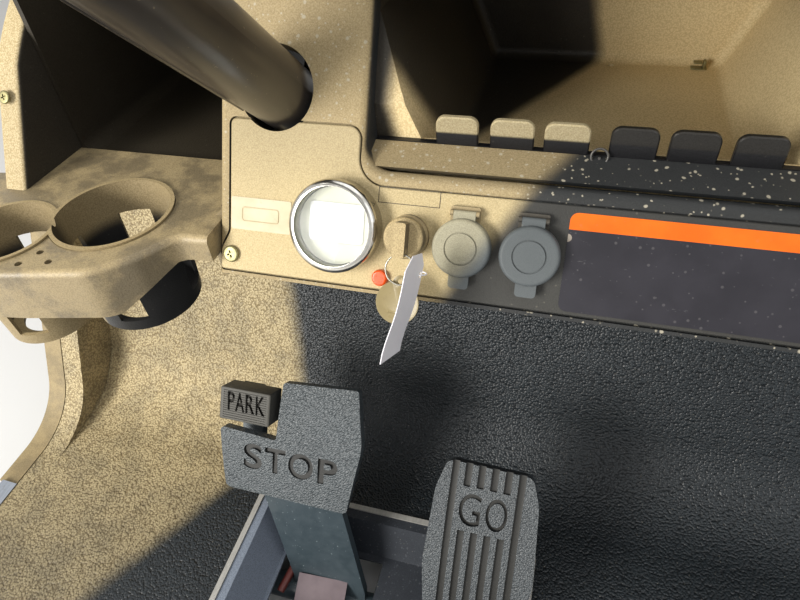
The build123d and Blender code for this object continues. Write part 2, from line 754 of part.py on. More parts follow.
# dash side panels, bins, comb rail and deck
for side, tag in ((-1, "left"), (1, "right")):
    with BuildPart() as side_panel:
        with BuildSketch(yz(side * side_in)):
            with BuildLine():
                Line((174, pod_top + 0.2), (222, 567))
                ThreePointArc((222, 567), (252, 595), (296, deck_low_z - 0.1))
                Line((296, deck_low_z - 0.1), (458, deck_low_z - 0.1))
                Line((458, deck_low_z - 0.1), (458, 474))
                Line((458, 474), (ledge_y + 1, 474))
                Line((ledge_y + 1, 474), (ledge_y + 1, pod_top + 0.2))
                Line((ledge_y + 1, pod_top + 0.2), (174, pod_top + 0.2))
            make_face()
        extrude(amount=side * (side_out - side_in))
        front = [e for e in edges() if e.center().Y < 290 and e.center().Z > pod_top + 5 and abs(abs(e.center().X) - 440.5) > 9]
        fillet([e for e in front if e.center().Y < 275], 3.5)
    save(side_panel.part, "side_panel_" + tag)
    bin_x = side * (side_in + tower_out) / 2
    bin_w = side_in - tower_out - 1
    with BuildPart() as side_hollow:
        with Locations((bin_x, (ledge_y - 40 + bin_back) / 2, (480 + deck_low_z + 40) / 2)):
            Box(bin_w - 2 * wall, bin_back - ledge_y + 40, deck_low_z + 40 - 480)
        low_edges = edges().filter_by(lambda e: e.center().Z < 481 or (e.center().Y > bin_back - 1 and e.center().Z < deck_low_z + 16))
        fillet([e for e in low_edges if e.center().Y > ledge_y - 39], 12)
    with BuildPart() as side_bin:
        with Locations((bin_x, (ledge_y + 0.5 + bin_back + wall) / 2, (476 + deck_low_z - 1) / 2)):
            Box(bin_w, bin_back + wall - ledge_y - 0.5, deck_low_z - 1 - 476)
        add(side_hollow.part, mode=Mode.SUBTRACT)
    save(side_bin.part, "bin_" + tag)

centre_floor = 499.0
centre_back = 446.0
mouth_z = 604.0
with BuildPart() as centre_hollow:
    with BuildSketch(Plane.XZ.offset(-mouth_y - wall)):
        with BuildLine():
            Polyline(
                (-100, centre_floor),
                (100, centre_floor),
                (tower_in, mouth_z),
                (tower_in, deck_low_z + 40),
                (-tower_in, deck_low_z + 40),
                (-tower_in, mouth_z),
                close=True,
            )
        make_face()
    extrude(amount=-(centre_back - mouth_y - wall))
    low_edges = [e for e in edges() if e.center().Z < centre_floor + 1]
    back_edges = [e for e in edges() if e.center().Y > centre_back - 1 and e.center().Z < deck_low_z + 30]
    fillet(list(set(low_edges + back_edges)), 9)

with BuildPart() as bin_centre:
    with BuildSketch(Plane.XZ.offset(-mouth_y)):
        with BuildLine():
            Polyline(
                (-104, centre_floor - wall),
                (104, centre_floor - wall),
                (tower_in + wall, mouth_z),
                (tower_in + wall, deck_low_z - 1),
                (-tower_in - wall, deck_low_z - 1),
                (-tower_in - wall, mouth_z),
                close=True,
            )
        make_face()
    extrude(amount=-(centre_back + wall - mouth_y))
    with BuildSketch(Plane.XZ.offset(-mouth_y)):
        with BuildLine():
            Polyline(
                (-tower_in - wall, centre_floor - wall),
                (tower_in + wall, centre_floor - wall),
                (tower_in + wall, deck_low_z - 1),
                (-tower_in - wall, deck_low_z - 1),
                close=True,
            )
        make_face()
    extrude(amount=-wall)
    add(centre_hollow.part, mode=Mode.SUBTRACT)
    with Locations((7.5, 435.4, centre_floor - 2)):
        Cylinder(3.2, 20, mode=Mode.SUBTRACT)
    with BuildSketch(Plane.XZ.offset(-mouth_y + 5)):
        with BuildLine():
            Polyline(
                (-113, 531),
                (113, 531),
                (tower_in, mouth_z),
                (tower_in, deck_low_z + 5),
                (-tower_in, deck_low_z + 5),
                (-tower_in, mouth_z),
                close=True,
            )
        make_face()
    extrude(amount=-wall - 10, mode=Mode.SUBTRACT)
    with BuildSketch(yz(-200)):
        with BuildLine():
            Polyline(
                (face_y(540) + cheek + 0.6, 540),
                (face_y(deck_low_z + 36) + cheek + 0.6, deck_low_z + 36),
                (100, deck_low_z + 36),
                (100, 540),
                close=True,
            )
        make_face()
    extrude(amount=400, mode=Mode.SUBTRACT)
    lean_back = (cheek + 0.6) * up_z
    rim_low = (mouth_y + 0.5 - gauge_row_y - lean_back * up_z) / up_y
    rim_top = (deck_low_z - 1.5 - gauge_row_z - lean_back * up_y) / up_z
    mouth_v = (mouth_z - gauge_row_z) / up_z
    with BuildSketch(face.offset(-lean_back)):
        with BuildLine():
            Polyline(
                (-tower_in - wall, rim_low),
                (tower_in + wall, rim_low),
                (tower_in + wall, rim_top),
                (-tower_in - wall, rim_top),
                close=True,
            )
        make_face()
        with BuildLine():
            Polyline(
                (-113, 45),
                (113, 45),
                (tower_in, mouth_v),
                (tower_in, mouth_v + 60),
                (-tower_in, mouth_v + 60),
                (-tower_in, mouth_v),
                close=True,
            )
        make_face(mode=Mode.SUBTRACT)
    extrude(amount=-wall)
save(bin_centre.part, "bin_centre")

tab_rows = (-88.5, -53.2, -19.6, 19.6, 53.2, 88.5)
with BuildPart() as comb_rail:
    with BuildSketch(Plane.XZ.offset(-213.3)):
        with Locations((0, 529)):
            Rectangle(2 * tower_in - 2, 7)
        for tab_x in tab_rows:
            with Locations((tab_x, 541)):
                RectangleRounded(27.6, 20, 6)
            with Locations((tab_x, 534)):
                Rectangle(27.6, 6)
    extrude(amount=-4.4)
    tips = [e for e in edges() if e.center().Z > 540 and e.geom_type != GeomType.LINE or e.center().Z > 550]
    chamfer([e for e in tips if abs(e.center().Y - 215.5) > 2], 0.8)
save(comb_rail.part, "comb_rail")

with BuildPart() as dash_deck:
    for inset, low, high, mode in ((0, deck_low_z, deck_top_z, Mode.ADD), (6, deck_low_z - 1, deck_top_z - 5, Mode.SUBTRACT)):
        with BuildSketch(Plane.XY.offset(low)):
            with BuildLine():
                half = deck_half - inset
                side_y = deck_side_y + inset
                front_y = deck_front - inset
                ThreePointArc((-half, side_y), (0, deck_mid_y + inset), (half, side_y))
                Line((half, side_y), (half, front_y))
                Line((half, front_y), (-half, front_y))
                Line((-half, front_y), (-half, side_y))
            make_face()
            fillet([v for v in vertices() if v.Y < deck_side_y + 8], 30 - inset)
        extrude(amount=high - low, mode=mode)
        if mode == Mode.ADD:
            fillet([e for e in edges() if e.center().Z > deck_top_z - 0.1 and e.center().Y < deck_front - 1], 9)
save(dash_deck.part, "dash_deck")

# dash support: uprights from the rails, a top bar, and arms back to the column
bar_y = deck_front + 13
bar_z = 610.0
bar_long = 2 * deck_half - 30
bar_deep = 26.0
bar_high = 40.0
with BuildPart() as dash_support:
    for side in (-1, 1):
        with Locations((side * rail_x, bar_y, (rail_h + bar_z) / 2)):
            Box(30, bar_deep, bar_z - rail_h)
    with Locations((0, bar_y, bar_z)):
        Box(bar_long, bar_deep, bar_high)
    for side in (-1, 1):
        with Locations((side * 200, (bar_y + 268) / 2, bar_z - 6)):
            Box(30, bar_y - 268, 28)
    with BuildSketch(column.offset(-130)):
        with Locations((0, 82)):
            Rectangle(40, 124)
    extrude(amount=50)
    with BuildSketch(column.offset(-150)):
        Circle(jacket_r + 0.3)
    extrude(amount=100, mode=Mode.SUBTRACT)
save(dash_support.part, "dash_support")

# instrument panel and what is on it
socket_rows = ((-74.5, "left"), (-32.0, "right"))
with BuildPart() as instrument_panel:
    with BuildSketch(face.offset(-panel_t)):
        with BuildLine():
            Polyline(*[(p[0], p[1]) for p in panel_rows], close=True)
        make_face()
        for px, py, pr in panel_rows:
            fillet([v for v in vertices() if abs(v.X - px) + abs(v.Y - py) < 0.1], pr)
    extrude(amount=panel_t)
    chamfer([e for e in edges() if near_face(e, 0)], 0.6)
    with BuildSketch(face.offset(-panel_t - 1)):
        with Locations((gauge_x, gauge_v)):
            Circle(gauge_r + 0.3)
        with Locations((key_x, key_v)):
            Circle(9.8)
        for socket_x, tag in socket_rows:
            with Locations((socket_x, socket_v)):
                Circle(socket_r + 0.3)
        with Locations((lamp_x, lamp_v)):
            Circle(4.3)
    extrude(amount=panel_t + 2, mode=Mode.SUBTRACT)
    with BuildSketch(column.offset(-40)):
        Circle(jacket_r + 4)
    extrude(amount=80, mode=Mode.SUBTRACT)
save(instrument_panel.part, "instrument_panel")

with BuildPart() as gauge_case:
    with BuildSketch(face.offset(-55)):
        with Locations((gauge_x, gauge_v)):
            Circle(gauge_r)
    extrude(amount=55 + dial_depth)
save(gauge_case.part, "gauge_case")

with BuildPart() as gauge_bezel:
    with BuildSketch(face):
        with Locations((gauge_x, gauge_v)):
            Circle(bezel_r)
    extrude(amount=bezel_proud)
    fillet([e for e in edges() if near_face(e, bezel_proud)], 4.5)
    with BuildSketch(face.offset(-1)):
        with Locations((gauge_x, gauge_v)):
            Circle(gauge_r + 0.3)
    extrude(amount=bezel_proud + 2, mode=Mode.SUBTRACT)
save(gauge_bezel.part, "gauge_bezel")

with BuildPart() as gauge_lens:
    with BuildSketch(face.offset(bezel_proud - 4.5)):
        with Locations((gauge_x, gauge_v)):
            Circle(gauge_r)
    extrude(amount=2)
save(gauge_lens.part, "gauge_lens")

key_bore_r = 3.56
with BuildPart() as key_switch:
    with BuildSketch(face.offset(-38)):
        with Locations((key_x, key_v)):
            Circle(9.5)
    extrude(amount=38)
    with BuildSketch(face):
        with Locations((key_x, key_v)):
            Circle(14.0)
    extrude(amount=5)
    chamfer([e for e in edges() if near_face(e, 5)], 1.5)
    with BuildSketch(face.offset(-16)):
        with Locations((key_x, key_v)):
            Circle(key_bore_r)
    extrude(amount=30, mode=Mode.SUBTRACT)
save(key_switch.part, "key_switch")

bow_low = 8.0
bow_hole_v = key_v - 7.0
bow_hole_off = bow_low + 12.0
bow_y = gauge_row_y + bow_hole_v * up_y - bow_hole_off * up_z
bow_z = gauge_row_z + bow_hole_v * up_z + bow_hole_off * up_y
with BuildPart() as key:
    with BuildSketch(face.offset(-14)):
        with Locations((key_x, key_v)):
            Circle(key_bore_r - 0.06)
    extrude(amount=14 + bow_low + 1)
    with BuildSketch(face.offset(bow_low)):
        with Locations((key_x, key_v)):
            Circle(13.4)
    extrude(amount=7)
    fillet([e for e in edges() if near_face(e, bow_low + 7)], 2.5)
    with BuildSketch(face.offset(bow_low + 6)):
        with Locations((key_x, key_v)):
            RectangleRounded(8, 22, 1.5)
    extrude(amount=11)
    with BuildSketch(yz(key_x - 10)):
        with Locations((bow_y, bow_z)):
            Circle(2.6)
    extrude(amount=20, mode=Mode.SUBTRACT)
save(key.part, "key")

ring_plane = face.offset(bow_hole_off)
with BuildPart() as key_fob:
    with BuildSketch(Plane(origin=ring_plane.from_local_coords((key_x, bow_hole_v - 12.5, 0)), x_dir=(1, 0, 0), z_dir=face.y_dir)):
        with Locations((12.5, 0)):
            Circle(1.0)
    revolve(axis=Axis(ring_plane.from_local_coords((key_x, bow_hole_v - 12.5, 0)), face.z_dir), revolution_arc=360)
    with BuildSketch(ring_plane.offset(-1.6)):
        with Locations((key_x - 6, bow_hole_v - 42)):
            Circle(19)
        with Locations((key_x - 1, bow_hole_v - 27)):
            Circle(6)
        with Locations((key_x - 1, bow_hole_v - 26.5)):
            Circle(1.4, mode=Mode.SUBTRACT)
    extrude(amount=1.4)
    with BuildSketch(ring_plane.offset(-0.2)):
        with Locations(Location((key_x + 1, bow_hole_v - 52, 0), (0, 0, -14))):
            RectangleRounded(15, 76, 2)
    extrude(amount=1.0)
save(key_fob.part, "key_fob")

hinge_y = gauge_row_y + hinge_v * up_y - hinge_off * up_z
hinge_z = gauge_row_z + hinge_v * up_z + hinge_off * up_y
for socket_x, tag in socket_rows:
    with BuildPart() as socket_body:
        with BuildSketch(face.offset(-38)):
            with Locations((socket_x, socket_v)):
                Circle(socket_r)
        extrude(amount=38)
        with BuildSketch(face):
            with Locations((socket_x, socket_v)):
                Circle(18)
            with Locations((socket_x, hinge_v - 1)):
                RectangleRounded(2 * hinge_half + 4.6, 10, 1.2)
        extrude(amount=3)
        for ear in (-1, 1):
            with BuildSketch(yz(socket_x + ear * (hinge_half + 0.2))):
                with Locations((hinge_y, hinge_z)):
                    Circle(hinge_r)
            extrude(amount=ear * 2)
            with BuildSketch(face.offset(2)):
                with Locations((socket_x + ear * (hinge_half + 1.2), hinge_v)):
                    Rectangle(2, 2 * hinge_r)
            extrude(amount=hinge_off - 2)
        with BuildSketch(yz(socket_x - 20)):
            with Locations((hinge_y, hinge_z)):
                Circle(hinge_pin_r + pin_gap)
        extrude(amount=40, mode=Mode.SUBTRACT)
        with BuildSketch(face.offset(-36)):
            with Locations((socket_x, socket_v)):
                Circle(socket_bore_r)
        extrude(amount=60, mode=Mode.SUBTRACT)
    save(socket_body.part, "socket_" + tag)
    with BuildPart() as socket_cap:
        with BuildSketch(face.offset(3.5)):
            with Locations((socket_x, socket_v)):
                Circle(cap_r)
        extrude(amount=cap_t)
        fillet([e for e in edges() if near_face(e, 3.5 + cap_t)], 2.5)
        with BuildSketch(face.offset(3.5)):
            with Locations((socket_x, hinge_v - 4)):
                Rectangle(2 * hinge_half, 8)
            with Locations((socket_x, socket_v - cap_r - 2)):
                RectangleRounded(13, 11, 2.5)
        extrude(amount=2 * hinge_r)
        for pin_half, pin_radius in ((hinge_half, hinge_r), (hinge_half + 2.2, hinge_pin_r)):
            with BuildSketch(yz(socket_x - pin_half)):
                with Locations((hinge_y, hinge_z)):
                    Circle(pin_radius)
            extrude(amount=2 * pin_half)
        with BuildSketch(face.offset(3.5 + cap_t - 0.8)):
            with Locations((socket_x, socket_v)):
                Circle(10.6)
                Circle(9.6, mode=Mode.SUBTRACT)
        extrude(amount=2, mode=Mode.SUBTRACT)
    save(socket_cap.part, "socket_cap_" + tag)

with BuildPart() as indicator_lamp:
    with BuildSketch(face.offset(-14)):
        with Locations((lamp_x, lamp_v)):
            Circle(4)
    extrude(amount=14)
    with BuildSketch(face):
        with Locations((lamp_x, lamp_v)):
            Circle(5.5)
    extrude(amount=4)
    fillet([e for e in edges() if near_face(e, 4)], 1.5)
save(indicator_lamp.part, "indicator_lamp")

# cup wells: two joined tapered cups hung in each pod, slotted, with a ring for a floor
rim_up = 1.6
slot_rows = ((20.0, 26.0), (115.0, 26.0), (200.0, 26.0), (290.0, 22.0))
for side, tag in ((1, "left"), (-1, "right")):
    with BuildPart() as cup_well:
        for shrink, low, high, mode in ((0.3, 402, pod_top + rim_up, Mode.ADD), (3.3, 405, pod_top + 3, Mode.SUBTRACT)):
            for cx, cy, cr in (cup_right, cup_left):
                with BuildSketch(Plane.XY.offset(high)):
                    with Locations((side * cx, cy)):
                        Circle(cr - shrink)
                extrude(amount=-(high - low), taper=3, mode=mode)
        for cx, cy, cr in (cup_right, cup_left):
            with BuildSketch(Plane.XY.offset(400)):
                with Locations((side * cx, cy)):
                    Circle(cr - 16)
            extrude(amount=10, mode=Mode.SUBTRACT)
            for turn, width in slot_rows:
                a = math.radians(turn)
                reach = cr - 4
                with BuildSketch(Plane.XY.offset(412)):
                    with Locations(Location((side * (cx + reach * math.cos(a)), cy + reach * math.sin(a), 0), (0, 0, side * turn))):
                        Rectangle(16, width)
                extrude(amount=48, mode=Mode.SUBTRACT)
    save(cup_well.part, "cup_well_" + tag)
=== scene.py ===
import json
import math

import bpy
from mathutils import Matrix, Vector

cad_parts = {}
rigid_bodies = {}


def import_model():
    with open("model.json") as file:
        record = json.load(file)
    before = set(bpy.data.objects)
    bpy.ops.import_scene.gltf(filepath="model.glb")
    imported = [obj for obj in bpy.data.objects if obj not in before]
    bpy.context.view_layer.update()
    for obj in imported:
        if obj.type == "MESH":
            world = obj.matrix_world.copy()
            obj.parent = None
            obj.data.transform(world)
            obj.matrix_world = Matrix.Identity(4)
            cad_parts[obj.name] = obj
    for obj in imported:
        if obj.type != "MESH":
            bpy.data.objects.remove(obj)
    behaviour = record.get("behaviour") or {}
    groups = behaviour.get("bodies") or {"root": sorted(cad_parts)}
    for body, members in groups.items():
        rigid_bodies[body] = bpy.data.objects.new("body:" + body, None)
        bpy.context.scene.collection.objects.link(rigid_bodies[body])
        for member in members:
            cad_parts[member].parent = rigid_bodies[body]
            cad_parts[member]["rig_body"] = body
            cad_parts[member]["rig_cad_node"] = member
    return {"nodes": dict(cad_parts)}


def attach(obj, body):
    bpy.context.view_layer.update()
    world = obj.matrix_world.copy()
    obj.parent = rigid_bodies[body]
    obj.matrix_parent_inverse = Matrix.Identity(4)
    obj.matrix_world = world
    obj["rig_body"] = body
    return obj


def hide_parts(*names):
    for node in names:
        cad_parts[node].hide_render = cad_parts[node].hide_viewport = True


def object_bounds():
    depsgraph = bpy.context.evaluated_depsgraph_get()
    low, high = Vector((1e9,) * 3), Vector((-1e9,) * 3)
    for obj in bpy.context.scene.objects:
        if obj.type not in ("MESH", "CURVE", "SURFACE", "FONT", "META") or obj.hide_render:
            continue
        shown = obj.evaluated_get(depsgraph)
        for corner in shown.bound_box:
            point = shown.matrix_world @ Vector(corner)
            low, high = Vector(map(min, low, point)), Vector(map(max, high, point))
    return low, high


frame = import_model()
nodes = frame["nodes"]
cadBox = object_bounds()
print("frame loaded:", len(nodes), "nodes")

# places and sizes of the pieces are in millimetres, and angles in degrees
mm = 0.001
surfaces = {  # a point on each leaning surface, and how far it is turned up from level
    "panel": ((0.0, 167.0, 492.0), 60.0),
    "column": ((-209.0, 209.5, 566.0), 47.5),
    "stopPad": ((-250.0, 150.6, 215.1), 55.0),
    "goPad": ((-46.7, 115.2, 211.4), 52.0),
}
gaugeX = -160.0
keyX = -111.0
socketXs = (-74.5, -32.0)
sides = ((-1, "Left"), (1, "Right"))


def on(surface, x=0.0, up=0.0, out=0.0):
    # a place on a leaning surface, with X to the right, Y up the surface and Z out of it
    (startX, startY, startZ), lean = surfaces[surface]
    angle = math.radians(lean)
    y = startY + up * math.cos(angle) - out * math.sin(angle)
    z = startZ + up * math.sin(angle) + out * math.cos(angle)
    return Matrix.Translation(Vector((startX + x, y, z)) * mm) @ Matrix.Rotation(angle, 4, "X")


def turned(angle, axis):
    return Matrix.Rotation(math.radians(angle), 4, axis)


def at(x, y, z, turn=(0, 0, 0)):
    place = Matrix.Translation(Vector((x, y, z)) * mm)
    return place @ turned(turn[2], "Z") @ turned(turn[1], "Y") @ turned(turn[0], "X")


def tone(red, green, blue):
    # a colour as a screen shows it, 0 to 255, made linear
    parts = [v / 255 for v in (red, green, blue)]
    return tuple(v / 12.92 if v <= 0.04045 else ((v + 0.055) / 1.055) ** 2.4 for v in parts) + (1.0,)


class Signal:  # a shader value that can be written as a sum
    def __init__(self, graph, socket):
        self.graph = graph
        self.socket = socket

    def maths(self, operation, *values):
        return self.graph.make("ShaderNodeMath", {"operation": operation}, dict(enumerate(values)))

    def __add__(self, other):
        return self.maths("ADD", self, other)

    def __sub__(self, other):
        return self.maths("SUBTRACT", self, other)

    def __rsub__(self, other):
        return self.maths("SUBTRACT", other, self)

    def __mul__(self, other):
        return self.maths("MULTIPLY", self, other)

    def __gt__(self, other):
        return self.maths("GREATER_THAN", self, other)

    def __lt__(self, other):
        return self.maths("LESS_THAN", self, other)

    def __abs__(self):
        return self.maths("ABSOLUTE", self)

    __radd__ = __add__
    __rmul__ = __mul__

    def most(self, other):
        return self.maths("MAXIMUM", self, other)

    def least(self, other):
        return self.maths("MINIMUM", self, other)

    def ease(self, low, high):
        # 0 below low, 1 above high, smooth between
        values = {0: self, 1: low, 2: high}
        return self.graph.make("ShaderNodeMapRange", {"interpolation_type": "SMOOTHSTEP"}, values)


class Graph:
    def __init__(self, tree):
        self.tree = tree

    def make(self, kind, settings=None, values=None, out=0):
        node = self.tree.nodes.new(kind)
        for key, value in (settings or {}).items():
            setattr(node, key, value)
        for key, value in (values or {}).items():
            if isinstance(value, Signal):
                self.tree.links.new(value.socket, node.inputs[key])
            else:
                node.inputs[key].default_value = value
        return Signal(self, node.outputs[out]) if node.outputs else None


class Finish(Graph):
    def __init__(self, name, **surface):
        self.material = bpy.data.materials.new(name)
        self.material.use_nodes = True
        super().__init__(self.material.node_tree)
        self.shader = self.tree.nodes["Principled BSDF"]
        for socket, value in surface.items():
            self.shader.inputs[socket.replace("_", " ")].default_value = value
        self.here = self.make("ShaderNodeTexCoord", out="Object")

    def feed(self, socket, value):
        self.tree.links.new(value.socket, self.shader.inputs[socket])

    def vectors(self, operation, values):
        return self.make("ShaderNodeVectorMath", {"operation": operation}, values)

    def stretch(self, scale=(1, 1, 1), turn=(0, 0, 0), shift=(0, 0, 0), where=None):
        angles = tuple(math.radians(angle) for angle in turn)
        values = {"Vector": where or self.here, "Scale": scale, "Rotation": angles, "Location": shift}
        return self.make("ShaderNodeMapping", {"vector_type": "TEXTURE"}, values, "Vector")

    def noise(self, size, detail=3.0, rough=0.55, where=None):
        # size is the width of one blotch
        values = {"Vector": where or self.here, "Scale": 1000 / size, "Detail": detail, "Roughness": rough}
        return self.make("ShaderNodeTexNoise", {}, values)

    def cells(self, size, where=None, out="Distance"):
        values = {"Vector": where or self.here, "Scale": 1000 / size}
        return self.make("ShaderNodeTexVoronoi", {}, values, out)

    def wobble(self, size, amount):
        # the place, pushed about by noise
        values = {"Vector": self.here, "Scale": 1000 / size, "Detail": 2.0}
        cloud = self.make("ShaderNodeTexNoise", {}, values, "Color")
        centred = self.vectors("SUBTRACT", {0: cloud, 1: (0.5, 0.5, 0.5)})
        pushed = self.vectors("SCALE", {0: centred, "Scale": amount * mm * 2})
        return self.vectors("ADD", {0: self.here, 1: pushed})

    def parts(self, where=None):
        split = self.make("ShaderNodeSeparateXYZ", {}, {0: where or self.here})
        return [Signal(self, socket) for socket in split.socket.node.outputs]

    def facing(self):
        # which way the surface faces, each part from -1 to 1
        return self.parts(self.make("ShaderNodeTexCoord", out="Normal"))

    def blend(self, mask, first, second):
        # two colours, each a signal or a screen colour
        pair = [tone(*colour) if isinstance(colour, tuple) else colour for colour in (first, second)]
        return self.make("ShaderNodeMix", {"data_type": "RGBA"}, {0: mask, 6: pair[0], 7: pair[1]}, 2)

    def raised(self, height, depth, under=None):
        # depth is between height 0 and height 1
        values = {"Height": height, "Distance": depth * mm, "Strength": 1.0}
        if under:
            values["Normal"] = under
        return self.make("ShaderNodeBump", {}, values, "Normal")

    def specks(self, size, share, radius, where=None):
        # round specks: a share of the cells hold one, radius is in parts of a cell
        spot = self.cells(size, where)
        pick = self.parts(self.cells(size, where, "Color"))[0]
        return (1 - spot.ease(radius * 0.55, radius)) * (pick < share)


finishes = {}

# moulded plastic and rubber: a pebbled grain under a film of dust, with painted sunlight and shade laid on it
# by place
# where the dash's painted sunlit side meets its painted shaded side
dashShadeEdge = (-0.368, 0.009, 0.518, 0.454)
padLean = turned(55, "X") @ turned(35, "Z")
padTurn = tuple(math.degrees(angle) for angle in padLean.to_euler())
plainPlastic = {
    "shine": 0.3, "fine": 0.25, "creviceShade": 0.5, "blotch": 90, "swell": 0.4, "pull": None, "turn": None,
    "top": 0.4, "edge": (2.0, 0.1, 0.0, 0.0), "grit": 0.8, "patch": 0.0, "low": None, "skirt": None,
    "fade": None, "side": 0.0, "dustColour": (208, 186, 140), "dustDeep": (182, 160, 116),
    "drops": 0.0, "dropColour": (196, 186, 160), "specks": 0.2, "speckColour": (176, 168, 150),
}
